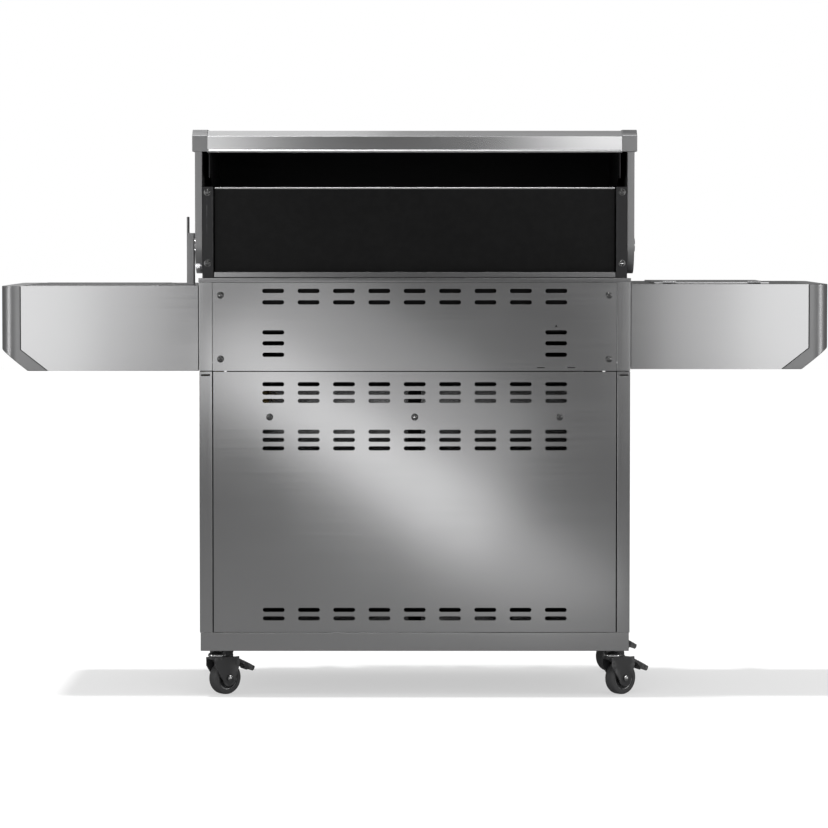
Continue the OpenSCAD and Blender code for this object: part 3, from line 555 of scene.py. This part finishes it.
def folded_copy(node, name, width, finish=None, angle=30, segments=2):
    """A CAD node's sheet metal with its edges rounded as the press leaves them."""
    source = frame["nodes"][node]
    piece = bpy.data.objects.new(name, source.data.copy())
    bpy.context.scene.collection.objects.link(piece)
    edit(piece)
    bpy.ops.mesh.customdata_custom_splitnormals_clear()
    bpy.ops.mesh.select_all(action="SELECT")
    bpy.ops.mesh.remove_doubles(threshold=CAD_WELD)
    bpy.ops.mesh.dissolve_limited(angle_limit=FLAT_ANGLE)
    leave()
    soften(piece, width, angle, segments)
    return dress(piece, SLOT_OF[node], BODY_OF[node], node, finish=finish)


FACE_COOK = Quaternion((1, 0, 0), math.radians(90))
FACE_REAR = Quaternion((1, 0, 0), math.radians(-90))
ALONG_WIDTH = Quaternion((0, 1, 0), math.radians(90))


def middle(node):
    low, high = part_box(node)
    return (low + high) / 2


# ---------------------------------------------------------------- folded and cast pieces

COPIES = [
    ("base_tray", "base_tray_pressing", 0.0015, "satin_steel"),
    ("side_panel_right", "side_panel_right_folded", 0.001, "satin_steel_z"),
    ("side_panel_left", "side_panel_left_folded", 0.001, "satin_steel_z"),
    ("upper_side_panels", "upper_side_panels_folded", 0.001, "satin_steel_z"),
    ("rear_lower_panel", "rear_lower_panel_pressing", 0.0006, "satin_steel"),
    ("rear_upper_panel", "rear_upper_panel_pressing", 0.0006, "satin_steel"),
    ("rear_top_rail", "rear_top_rail_folded", 0.0008, "rail_steel_painted_shade"),
    ("control_panel", "control_panel_folded", 0.002, "satin_steel"),
    ("hinge_posts", "hinge_posts_folded", 0.0012, "charcoal_paint"),
    ("firebox", "firebox_tub_pressing", 0.0015, "black_enamel"),
    ("firebox_rear_wall", "firebox_rear_wall_pressing", 0.0015, "black_enamel"),
    ("right_shelf", "right_shelf_folded", 0.0012, "satin_steel"),
    ("left_shelf", "left_shelf_folded", 0.0012, "satin_steel"),
    ("right_shelf_cap", "right_shelf_cap_casting", 0.003, "cast_aluminium"),
    ("left_shelf_cap", "left_shelf_cap_casting", 0.003, "cast_aluminium"),
    ("spit_motor_bracket", "spit_motor_bracket_casting", 0.0012, "cast_aluminium"),
    ("side_burner", "side_burner_pan_pressing", 0.001, "satin_steel"),
    ("side_burner_lid", "side_burner_lid_pressing", 0.0003, "lid_steel"),
    ("side_burner_grate", "side_burner_grate_casting", 0.002, "cast_iron"),
    ("lid_liner", "lid_liner_pressing", 0.001, "liner_enamel"),
    ("lid_cap_right", "lid_cap_right_casting", 0.0035, "cast_aluminium"),
    ("lid_cap_left", "lid_cap_left_casting", 0.0035, "cast_aluminium"),
    ("lid_handle_brackets", "lid_handle_bracket_castings", 0.002, "cast_aluminium"),
    ("lid_hinge_pins", "lid_hinge_pins_turned", 0.0008, "bright_steel"),
    ("door_right", "door_right_pressing", 0.0018, "satin_steel_z"),
    ("door_left", "door_left_pressing", 0.0018, "satin_steel_z"),
    ("front_frame", "front_frame_folded", 0.0006, "charcoal_paint"),
    ("cooking_grids", "cooking_grid_castings", 0.0015, "cast_iron"),
    ("main_burners", "main_burner_tubes", 0.0008, "heat_steel"),
    ("flame_tamers", "flame_tamer_folds", 0.0008, "heat_steel"),
    ("warming_rack", "warming_rack_wires", 0.0006, "bright_steel"),
    ("gas_manifold", "gas_manifold_pipes", 0.0008, "brass"),
    # the drip tray takes the dark charcoal finish instead of steel, so the inside seen through the rear slots is
    # dark: painted shade
    ("drip_tray", "drip_tray_pressing", 0.0008, "charcoal_paint"),
    ("caster_mounts", "caster_mount_plates", 0.0008, "charcoal_paint"),
]
CORNERS = ("rear_right", "rear_left", "front_right", "front_left")
for corner in CORNERS:
    COPIES.append(("fork_" + corner, "fork_pressing_" + corner, 0.0012, "caster_black"))

for node, name, width, finish in COPIES:
    folded_copy(node, name, width, finish)

# ---------------------------------------------------------------- lid

SHEET = 1.5
DIAL_DEPTH = 10
DIAL_MARKS = 26
DIAL_START = 125
DIAL_STEP = 10


def roll_lid_skin():
    """One sheet: folded in at the front, rolled over the top, and beaded along its rear edge."""
    low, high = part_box("lid_shell")
    front, rear, bottom, top = low.y / MM, high.y / MM, low.z / MM, high.z / MM
    roll, rear_run, rear_drop, band, bead = 150, 22, 12, 28, 3.4
    bead_z = top - rear_drop - band - bead
    run = [(front + 14, bottom), (front, bottom), (front, top - roll)]
    run += arc(front + roll, top - roll, roll, 180, 90, 40)[1:]
    run += [(rear - rear_run, top), (rear, top - rear_drop), (rear, bead_z + bead + 1)]
    run += arc(rear - 1.4, bead_z, bead, 66, -150, 12)
    skin = rolled("lid_skin_rolled", run, high.x / MM, SHEET)
    soften(skin, 0.0022, 24, 3)
    return dress(skin, "bright_steel", "lid", "lid_shell", finish="lid_steel")


def turn_lid_grip():
    low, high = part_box("lid_handle")
    r = (high.z - low.z) / 2 / MM - 0.06
    half = high.x / MM
    end = [(0, 0), (r - 3, 0), (r - 1, 0.8), (r, 2.6), (r, 17), (r - 1.2, 17.6), (r - 1.2, 20),
           (r, 20.6)]
    far = [(q, 2 * half - h) for q, h in reversed(end)]
    grip = turned("lid_grip_bar", end + far, 64)
    settle(grip, (-half * MM, middle("lid_handle").y, middle("lid_handle").z), ALONG_WIDTH)
    soften(grip, 0)
    return dress(grip, "bright_steel", "lid", "lid_handle", finish="bright_steel")


def turn_gauge():
    """Bezel with its probe, and a dial face with raised marks."""
    low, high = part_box("gauge_body")
    centre = middle("gauge_body")
    r = (high.x - low.x) / 2 / MM
    face = low.y + DIAL_DEPTH * MM
    rim = [(r - 5.6, 0.2), (r, 0.2), (r, 6.4), (r - 0.8, 8.5), (r - 2.6, 9.8), (r - 4.4, 9.4),
           (r - 5.2, 8.0), (r - 5.6, 5.0)]
    bezel = turned("bezel", rim, 72, closed=True)
    probe = turned("probe", [(0, -75), (3.4, -75), (4, -73), (4, -12), (9, -12), (9, -7), (5, -6),
                             (5, 0.6), (0, 0.6)], 24)
    bezel = joined("lid_gauge_bezel", [soften(bezel, 0), soften(probe, 0)])
    settle(bezel, (0, face, centre.z), FACE_COOK)
    dress(bezel, "bright_steel", "lid", "gauge_body", finish="bright_steel")
    dial = turned("lid_gauge_dial", [(0, 0.4), (r - 5.4, 0.4), (r - 5.4, 3.2), (0, 3.2)], 72)
    settle(dial, (0, face, centre.z), FACE_COOK)
    soften(dial, 0.0002)
    dress(dial, "black_enamel", "lid", finish="dial_black")
    marks = []
    for step in range(DIAL_MARKS):
        half, inset = (0.00045, 12) if step % 5 == 0 else (0.00025, 9.5)
        low_corner = (-half, (r - inset) * MM, 0.0031)
        mark = boxed("mark", low_corner, (half, (r - 7) * MM, 0.0035), 0.0001)
        angle = math.radians(DIAL_START - DIAL_STEP * step)
        settle(mark, turn=Quaternion((0, 0, 1), angle))
        marks.append(mark)
    marks = joined("lid_gauge_marks", marks)
    settle(marks, (0, face, centre.z), FACE_COOK)
    return dress(marks, "bright_steel", "lid", finish="dial_white")


def roll_wall_trim():
    """Bright half-round moulding along the top rear edge of the firebox's rear wall."""
    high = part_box("firebox_rear_wall")[1]
    half, y, z = high.x / MM - 0.5, high.y / MM, high.z / MM
    bead = arc(y - 0.8, z - 2.2, 2.6, 180, -90, 14) + [(y - 0.8, z - 1.2), (y - 2.0, z - 1.2)]
    outline = [(-half, py, pz) for py, pz in bead]
    piece = slab("rear_wall_trim_moulding", outline, (2 * half * MM, 0, 0))
    soften(piece, 0.0003)
    return dress(piece, "bright_steel", "cart", finish="bright_steel")


def fit_rail_shadow_strip():
    """Black strip where the rail's upstand meets its flange, put there as the shadow line of that groove: painted
    shade.
    """
    half, face, foot = 0.4285, 0.2871, 0.884
    strip = boxed("rail_shadow_strip", (-half, face - 0.0006, foot + 0.0001),
                  (half, face + 0.0012, foot + 0.0022), 0.0004)
    return dress(strip, "charcoal_paint", "cart", finish="dial_black")


def fit_shelf_joint_strips(side, body_node, cap_node, name):
    """Black strip along the joint between a shelf's sheet and its cast end, on the rear face."""
    low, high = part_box(body_node)
    rear = high.y / MM + 0.3
    seam, floor, toe, slope, half = 830, low.z / MM, 57, 45, 0.9
    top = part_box(cap_node)[1].z / MM - 1
    line = [(seam, top), (seam, floor + slope), (seam - toe, floor + 0.4)]
    run = [(x - half, z) for x, z in line] + [(x + half, z) for x, z in reversed(line)]
    strip = slab(name, [(side * x, rear, z) for x, z in run], (0, 0.002, 0))
    soften(strip, 0.0003)
    return dress(strip, "charcoal_paint", "cart", finish="dial_black")


fit_rail_shadow_strip()
fit_shelf_joint_strips(1, "right_shelf", "right_shelf_cap", "right_shelf_joint_strip")
fit_shelf_joint_strips(-1, "left_shelf", "left_shelf_cap", "left_shelf_joint_strip")
roll_lid_skin()
turn_lid_grip()
turn_gauge()
roll_wall_trim()

# ---------------------------------------------------------------- screws

UPPER_SCREWS = [(0.408, 0.848), (0.408, 0.714), (-0.408, 0.848), (-0.408, 0.714)]
LOWER_SCREWS = [(0.305, 0.592), (0.0, 0.592), (-0.305, 0.592)]
SCREW_TURN = 37
POST_SCREWS = [(0.435, 1.064), (0.435, 0.915), (-0.435, 1.064), (-0.435, 0.915)]


def turn_screws():
    """Pan heads on washers, each with its cross recess turned its own way."""
    head = turned("screw", [(0, 0.02), (7.3, 0.02), (7.5, 0.2), (7.5, 0.8), (7.2, 1.0), (5.3, 1.0),
                            (5.3, 1.5), (5.0, 2.3), (4.2, 2.85), (2.9, 3.1), (0, 3.18)], 32)
    arms = [boxed("arm", (-0.0005, -0.0027, 0.0016), (0.0005, 0.0027, 0.004), 0.0001),
            boxed("arm", (-0.0027, -0.0005, 0.0016), (0.0027, 0.0005, 0.004), 0.0001)]
    for arm in arms:
        hold(head)
        cut = head.modifiers.new("recess", "BOOLEAN")
        cut.operation = "DIFFERENCE"
        cut.object = arm
        bpy.ops.object.modifier_apply(modifier=cut.name)
        bpy.data.objects.remove(arm)
    soften(head, 0)
    panel_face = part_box("rear_lower_panel")[1].y
    post_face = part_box("hinge_posts")[1].y
    places = [(x, panel_face, z) for x, z in UPPER_SCREWS + LOWER_SCREWS]
    places += [(x, post_face, z) for x, z in POST_SCREWS]
    made = []
    for i, place in enumerate(places):
        turn = Quaternion((0, 0, 1), math.radians(SCREW_TURN * i))
        made.append(settle(copy_of(head, "screw"), place, FACE_REAR @ turn))
    bpy.data.objects.remove(head)
    screws = joined("panel_screw_heads", made)
    return dress(screws, "screw_steel", "cart", "panel_screws")


turn_screws()

# ---------------------------------------------------------------- knobs

SKIRT = 23.6
FLUTES = 16
FLUTE_SHARE = (0.28, 0.72)
KNOBS = ["knob_%d" % (i + 1) for i in range(5)] + ["side_burner_knob"]


def model_knob():
    """Fluted skirt and ribbed grip, facing up at the origin."""
    knob = turned("knob", [(0, 0), (SKIRT - 0.8, 0), (SKIRT, 0.8), (SKIRT, 5.4), (22.2, 7.2),
                           (19.2, 8.2), (18.4, 9.6), (18.2, 12), (17.6, 26.4), (16.6, 28.4),
                           (14.4, 29.4), (13.6, 29.0), (0, 29.0)], 96)

    def in_flute(v, low, high, inner):
        r = math.hypot(v.co.x, v.co.y) / MM
        share = (math.atan2(v.co.y, v.co.x) / math.tau * FLUTES) % 1
        in_band = low < v.co.z / MM < high and r > inner
        return in_band and FLUTE_SHARE[0] < share < FLUTE_SHARE[1]

    edit(knob)
    pick(knob, "VERT", lambda v: in_flute(v, -1, 6, 22))
    bpy.ops.transform.resize(value=(0.95, 0.95, 1), center_override=(0, 0, 0))
    pick(knob, "VERT", lambda v: in_flute(v, 11, 27, 17))
    bpy.ops.transform.resize(value=(0.93, 0.93, 1), center_override=(0, 0, 0))
    leave()
    return soften(knob, 0)


def model_knob_cap():
    """Bright disc let into the knob's face, with a raised pointer."""
    profile = [(0, 28.6), (13.2, 28.6), (13.2, 29.5), (12.8, 29.8), (0, 29.9)]
    cap = soften(turned("cap", profile, 64), 0)
    pointer = boxed("pointer", (-0.0011, 0.001, 0.0297), (0.0011, 0.0124, 0.0306), 0.0004)
    tip = boxed("tip", (-0.0011, 0.0178, 0.0075), (0.0011, 0.0222, 0.0092), 0.0004)
    return joined("cap", [cap, pointer, tip])


def fit_knobs():
    knob, cap = model_knob(), model_knob_cap()
    for name in KNOBS:
        low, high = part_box(name)
        place = ((low.x + high.x) / 2, high.y, (low.z + high.z) / 2)
        grip = settle(copy_of(knob, name + "_grip"), place, FACE_COOK)
        dress(grip, "knob_finish", BODY_OF[name], name)
        disc = settle(copy_of(cap, name + "_disc"), place, FACE_COOK)
        dress(disc, "bright_steel", BODY_OF[name])
    bpy.data.objects.remove(knob)
    bpy.data.objects.remove(cap)


def turn_bezels():
    """Dished rings round the knobs, with a fan of raised marks on each."""
    ring = turned("ring", [(10, 0.1), (31.6, 0.1), (32, 0.5), (32, 1.6), (31.4, 2.0), (28.4, 2.2),
                           (27.8, 4.4), (27.0, 4.9), (25.4, 4.6), (24.8, 3.4), (10, 3.0)], 72, True)
    parts = [soften(ring, 0)]
    for step in range(7):
        mark = boxed("mark", (-0.0005, 0.0286, 0.0018), (0.0005, 0.0312, 0.0026), 0.0001)
        parts.append(settle(mark, turn=Quaternion((0, 0, 1), math.radians(-30 * step))))
    ring = joined("ring", parts)
    made = []
    for name in KNOBS:
        low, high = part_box(name)
        face = high.y + 0.0053
        place = ((low.x + high.x) / 2, face, (low.z + high.z) / 2)
        made.append(settle(copy_of(ring, "ring"), place, FACE_COOK))
    bpy.data.objects.remove(ring)
    return dress(joined("knob_bezel_rings", made), "bright_steel", "cart", "knob_bezels")


fit_knobs()
turn_bezels()

# ---------------------------------------------------------------- door handles

HANDLE_STANDS = (0.41, 0.55)

def turn_door_handle(node, name, body):
    low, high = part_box(node)
    r = (high.x - low.x) / 2 / MM
    length = (high.z - low.z) / MM
    end = [(0, 0), (r - 2, 0), (r - 0.6, 0.5), (r, 1.8), (r, 12), (r - 0.8, 12.5), (r - 0.8, 14),
           (r, 14.5)]
    bar = soften(turned("bar", end + [(q, length - h) for q, h in reversed(end)], 40), 0)
    settle(bar, ((low.x + high.x) / 2, low.y + r * MM, low.z))
    parts = [bar]
    for z in HANDLE_STANDS:
        stand = turned("stand", [(0, 0.1), (8.6, 0.1), (8.6, 1.6), (7.4, 2.4), (5.6, 3.2), (5.2, 6),
                                 (5.2, 34), (0, 34)], 32)
        parts.append(settle(soften(stand, 0), ((low.x + high.x) / 2, high.y, z), FACE_COOK))
    return dress(joined(name, parts), "bright_steel", body, node)


turn_door_handle("door_handle_right", "door_handle_right_bar", "right_door")
turn_door_handle("door_handle_left", "door_handle_left_bar", "left_door")

# ---------------------------------------------------------------- wheels

JOINTS = {joint["name"]: joint for joint in frame["joints"]}
POCKETS = 6
POCKET_SHARE = (0.14, 0.86)
POCKET_DEPTH = 0.0028


def model_wheel():
    """Rounded tyre with a centre groove, and a hub with sunken pockets on both sides."""
    tyre = turned("tyre", [(24.2, -9), (25, -11.4), (31, -12), (33.4, -11), (34.6, -8.4), (35, -5),
                           (35, -0.5), (34.6, 0), (35, 0.5), (35, 5), (34.6, 8.4), (33.4, 11),
                           (31, 12), (25, 11.4), (24.2, 9)], 72, closed=True)
    side = [(4.3, 13.1), (8.4, 13.1), (9.2, 12.3), (10, 8.6), (11.2, 8.4), (11.6, 8.3),
            (19.2, 8.3), (19.6, 8.4), (21.2, 8.2), (22.4, 9.8), (24.6, 10.2)]
    hub = turned("hub", [(r, -h) for r, h in side] + list(reversed(side)), 72, closed=True)

    def in_pocket(v, side):
        r = math.hypot(v.co.x, v.co.y) / MM
        share = (math.atan2(v.co.y, v.co.x) / math.tau * POCKETS) % 1
        in_web = 11.4 < r < 19.4 and side * v.co.z > 0.007
        return in_web and POCKET_SHARE[0] < share < POCKET_SHARE[1]

    edit(hub)
    for side in (1, -1):
        pick(hub, "VERT", lambda v: in_pocket(v, side))
        bpy.ops.transform.translate(value=(0, 0, -POCKET_DEPTH * side))
    leave()
    return soften(tyre, 0), soften(hub, 0)


def fit_wheels():
    tyre, hub = model_wheel()
    for corner in CORNERS:
        roll = JOINTS["roll_" + corner]
        turn = Vector((0, 0, 1)).rotation_difference(Vector(roll["axis"]))
        body = "roller_" + corner
        dress(settle(copy_of(tyre, "wheel_tyre_" + corner), roll["pos_m"], turn),
              "wheel_rubber", body, "wheel_" + corner)
        dress(settle(copy_of(hub, "wheel_hub_" + corner), roll["pos_m"], turn),
              "caster_black", body)
    bpy.data.objects.remove(tyre)
    bpy.data.objects.remove(hub)


fit_wheels()

# ---------------------------------------------------------------- brake pedals

PEDAL_PIVOT = 0.044
PEDAL_HEIGHT = 0.07
TREAD_SLOPE = 25.5
TREAD_SIDE = [(44, 74.5), (54, 74), (90.5, 56.6), (93.4, 55.6), (94, 54), (93.6, 50.6), (92, 50),
              (54, 66.2), (44, 65.5)]
WEB_SIDE = [(60, 70), (91, 56), (92.5, 48.5), (88, 45.5), (72, 50.5), (64, 60)]

def model_pedal():
    """Lever with a turned hub, a ribbed tread and a web down each side."""
    tread = slab("tread", [(x, -10.6, z) for x, z in TREAD_SIDE], (0, 0.0212, 0))
    parts = [soften(tread, 0.0006)]
    for y in (-10.9, 8.9):
        web = slab("web", [(x, y, z) for x, z in WEB_SIDE], (0, 0.002, 0))
        parts.append(soften(web, 0.0005))
    for step in range(5):
        share = 0.36 + 0.13 * step
        x, z = 54 + 36.5 * share, 74 - 17.4 * share
        rib = boxed("rib", (-0.0008, -0.009, -0.0004), (0.0008, 0.009, 0.0009), 0.0003)
        slope = Quaternion((0, 1, 0), math.radians(TREAD_SLOPE))
        parts.append(settle(rib, (x * MM, 0, z * MM), slope))
    profile = [(2.7, 0), (4.2, 0), (4.7, 0.5), (4.7, 24.5), (4.2, 25), (2.7, 25)]
    hub = turned("hub", profile, 32, True)
    parts.append(settle(soften(hub, 0), (PEDAL_PIVOT, 0.0125, PEDAL_HEIGHT), FACE_COOK))
    return joined("pedal", parts)


def fit_pedals():
    pedal = model_pedal()
    for corner in CORNERS:
        pivot = JOINTS["brake_press_" + corner]
        across = Vector(pivot["axis"])
        swing = Quaternion((0, 0, 1), math.atan2(-across.x, across.y))
        foot = Vector(pivot["pos_m"]) - swing @ Vector((PEDAL_PIVOT, 0, 0))
        made = settle(copy_of(pedal, "brake_pedal_" + corner), (foot.x, foot.y, 0), swing)
        dress(made, SLOT_OF["brake_" + corner], "pedal_" + corner, "brake_" + corner,
              finish="caster_black")
    bpy.data.objects.remove(pedal)


fit_pedals()


def fit_caster_bolts():
    """Zinc axle bolts on the fork bosses and a bright ball race round each swivel."""
    head = soften(turned("bolt", [(0, 0.02), (5.6, 0.02), (5.6, 0.5), (4.4, 0.7), (4.2, 1.6),
                                  (3.2, 2.6), (1.6, 3.1), (0, 3.2)], 32), 0)
    race = soften(turned("race", [(16.9, 82.2), (18.2, 82.6), (18.8, 84.2), (18.2, 85.8),
                                  (16.9, 86.2)], 48, True), 0)
    boss = 0.019
    for corner in CORNERS:
        roll = JOINTS["roll_" + corner]
        axle, place = Vector(roll["axis"]), Vector(roll["pos_m"])
        parts = []
        for side in (1, -1):
            turn = Vector((0, 0, 1)).rotation_difference(axle * side)
            parts.append(settle(copy_of(head, "bolt"), place + axle * side * boss, turn))
        pivot = JOINTS["swivel_" + corner]["pos_m"]
        parts.append(settle(copy_of(race, "race"), (pivot[0], pivot[1], 0)))
        dress(joined("caster_hardware_" + corner, parts), "screw_steel", "caster_" + corner,
              finish="bright_steel")
    bpy.data.objects.remove(head)
    bpy.data.objects.remove(race)


fit_caster_bolts()


def finish_nodes():
    """The CAD nodes whose shape stays as it is get the same finishes."""
    for name, node in frame["nodes"].items():
        if node.hide_render:
            continue
        for place in node.material_slots:
            place.material = FINISHES[SLOT_OF[name]]


finish_nodes()

# ---------------------------------------------------------------- floor, light and air

FLOOR_GLOW = 0.53
MIRRORED = 2.3
REAR = 0.29
STREAK_LEAN = -35.5


def lay_floor():
    let_go()
    bpy.ops.mesh.primitive_plane_add(size=1)
    floor = bpy.context.object
    floor.name = "floor"
    floor.scale = (30, 24, 1)
    floor.location = (0, -6, cad_low.z)
    bpy.ops.object.transform_apply(location=True, rotation=True, scale=True)
    paper = Finish("floor_paper", 0.0, 0.9)
    grain = paper.effect("cast_skin", Pebble=60.0, Depth=0.05, Height=0.0002)
    low, high = (0.32, 0.32, 0.32, 1), (0.33, 0.33, 0.33, 1)
    paper.set("Base Color", paper.blend(grain["Pebbles"], low, high))
    paper.set("Normal", grain["Normal"])
    paper.shader.inputs["Specular IOR Level"].default_value = 0.0
    paper.shader.inputs["Emission Color"].default_value = (1, 1, 1, 1)
    paper.shader.inputs["Emission Strength"].default_value = FLOOR_GLOW
    dim = paper.node("ShaderNodeBsdfDiffuse")
    dim.inputs["Color"].default_value = (0.13, 0.13, 0.13, 1)
    ray = paper.node("ShaderNodeLightPath")
    mix = paper.node("ShaderNodeMixShader")
    paper.link(ray.outputs["Is Glossy Ray"], mix.inputs[0])
    paper.link(paper.shader.outputs[0], mix.inputs[1])
    paper.link(dim.outputs[0], mix.inputs[2])
    paper.link(mix.outputs[0], paper.tree.nodes["Material Output"].inputs["Surface"])
    paper.material.cycles.emission_sampling = "NONE"
    floor.data.materials.append(paper.material)


def soft_box(name, centre, target, width, height, radiance):
    """A rectangular softbox of even radiance, not seen itself."""
    data = bpy.data.lights.new(name, "AREA")
    data.shape = "RECTANGLE"
    data.size = width
    data.size_y = height
    data.energy = radiance * math.pi * width * height
    lamp = bpy.data.objects.new(name, data)
    lamp.location = centre
    lamp.rotation_euler = (Vector(target) - Vector(centre)).to_track_quat("-Z", "Y").to_euler()
    bpy.context.scene.collection.objects.link(lamp)
    lamp.visible_camera = False
    return lamp


def fill_air(white, diffuse, glossy):
    """Even air with its own strength for what the eye, dull surfaces and mirrors see."""
    world = bpy.data.worlds.new("studio_air")
    bpy.context.scene.world = world
    world.use_nodes = True
    air = Wiring(world.node_tree)
    sky = world.node_tree.nodes["Background"]
    ray = air.node("ShaderNodeLightPath")
    mirrored = air.math("MULTIPLY", ray.outputs["Is Glossy Ray"], glossy - diffuse)
    level = air.math("ADD", mirrored, diffuse)
    seen = air.math("MULTIPLY", ray.outputs["Is Camera Ray"], white - diffuse)
    air.link(air.math("ADD", level, seen), sky.inputs["Strength"])
    sky.inputs["Color"].default_value = (1, 1, 1, 1)
    world.cycles.sampling_method = "NONE"


def facing_box(name, x, y, z, width, height, radiance):
    """A softbox that faces the rear panels square on."""
    return soft_box(name, (x, y, z), (x, REAR, z), width, height, radiance)


def wing(side):
    """Softboxes between the eye and the grill, mirrored in a shelf and its cast end."""
    facing_box("wing_box", side * 1.25, MIRRORED, 0.95, 0.8, 1.0, 1.15)
    facing_box("wing_inner_box", side * 0.74, MIRRORED, 0.76, 0.22, 0.5, 0.62)
    soft_box("end_box", (side * 3.2, 1.0, 0.8), (side * 0.85, 0.28, 0.8), 0.5, 1.4, 5.0)


def streak(name, x, y, z, length, width, radiance):
    """A long leaning softbox, mirrored as the diagonal glow on the rear panels."""
    lamp = facing_box(name, x, y, z, length, width, radiance)
    lamp.rotation_euler.rotate_axis("Z", math.radians(STREAK_LEAN))


def hang_sun(energy, spread, tilt):
    """The one distant light, which draws the shadow on the floor."""
    data = bpy.data.lights.new("overhead", "SUN")
    data.energy = energy
    data.angle = math.radians(spread)
    lamp = bpy.data.objects.new("overhead", data)
    lamp.rotation_euler = (0, math.radians(tilt), 0)
    bpy.context.scene.collection.objects.link(lamp)


set_up_camera()
lay_floor()
fill_air(1.0, 0.75, 0.125)
hang_sun(3.0, 4, 9)
wing(1)
wing(-1)
facing_box("lid_right_box", 0.6, MIRRORED, 1.2, 0.32, 0.5, 1.35)
facing_box("lid_left_box", -0.58, MIRRORED, 1.3, 0.5, 0.3, 2.1)
# the leaning boxes overlap as seen from the panels, so each stands in a plane of its own
streak("streak_box", 0.02, 2.30, 0.315, 1.3, 0.2, 0.46)
streak("streak_middle_box", 0.155, 2.33, 0.411, 0.87, 0.2, 0.42)
streak("streak_glow_box", 0.1, 2.39, 0.55, 0.85, 0.42, 0.32)
soft_box("top_box", (0, -0.3, 3.2), (0, -0.3, 0), 3.2, 2.2, 0.25)
soft_box("top_right_box", (0.9, -0.3, 3.1), (0.9, -0.3, 0), 1.6, 2.2, 0.45)
soft_box("edge_box", (0, 2.1, 2.9), (0, 0.2, 0.9), 1.1, 0.5, 5.0)
soft_box("front_box", (0.8, -3.0, 2.8), (0, 0, 0.6), 1.8, 2.0, 1.1)
soft_box("quarter_right_box", (2.8, 3.6, 1.0), (0.3, 0, 0.6), 1.3, 1.8, 0.6)
soft_box("quarter_left_box", (-2.8, 3.6, 1.0), (-0.3, 0, 0.6), 1.3, 1.8, 0.6)
bpy.context.scene.view_settings.view_transform = "Standard"
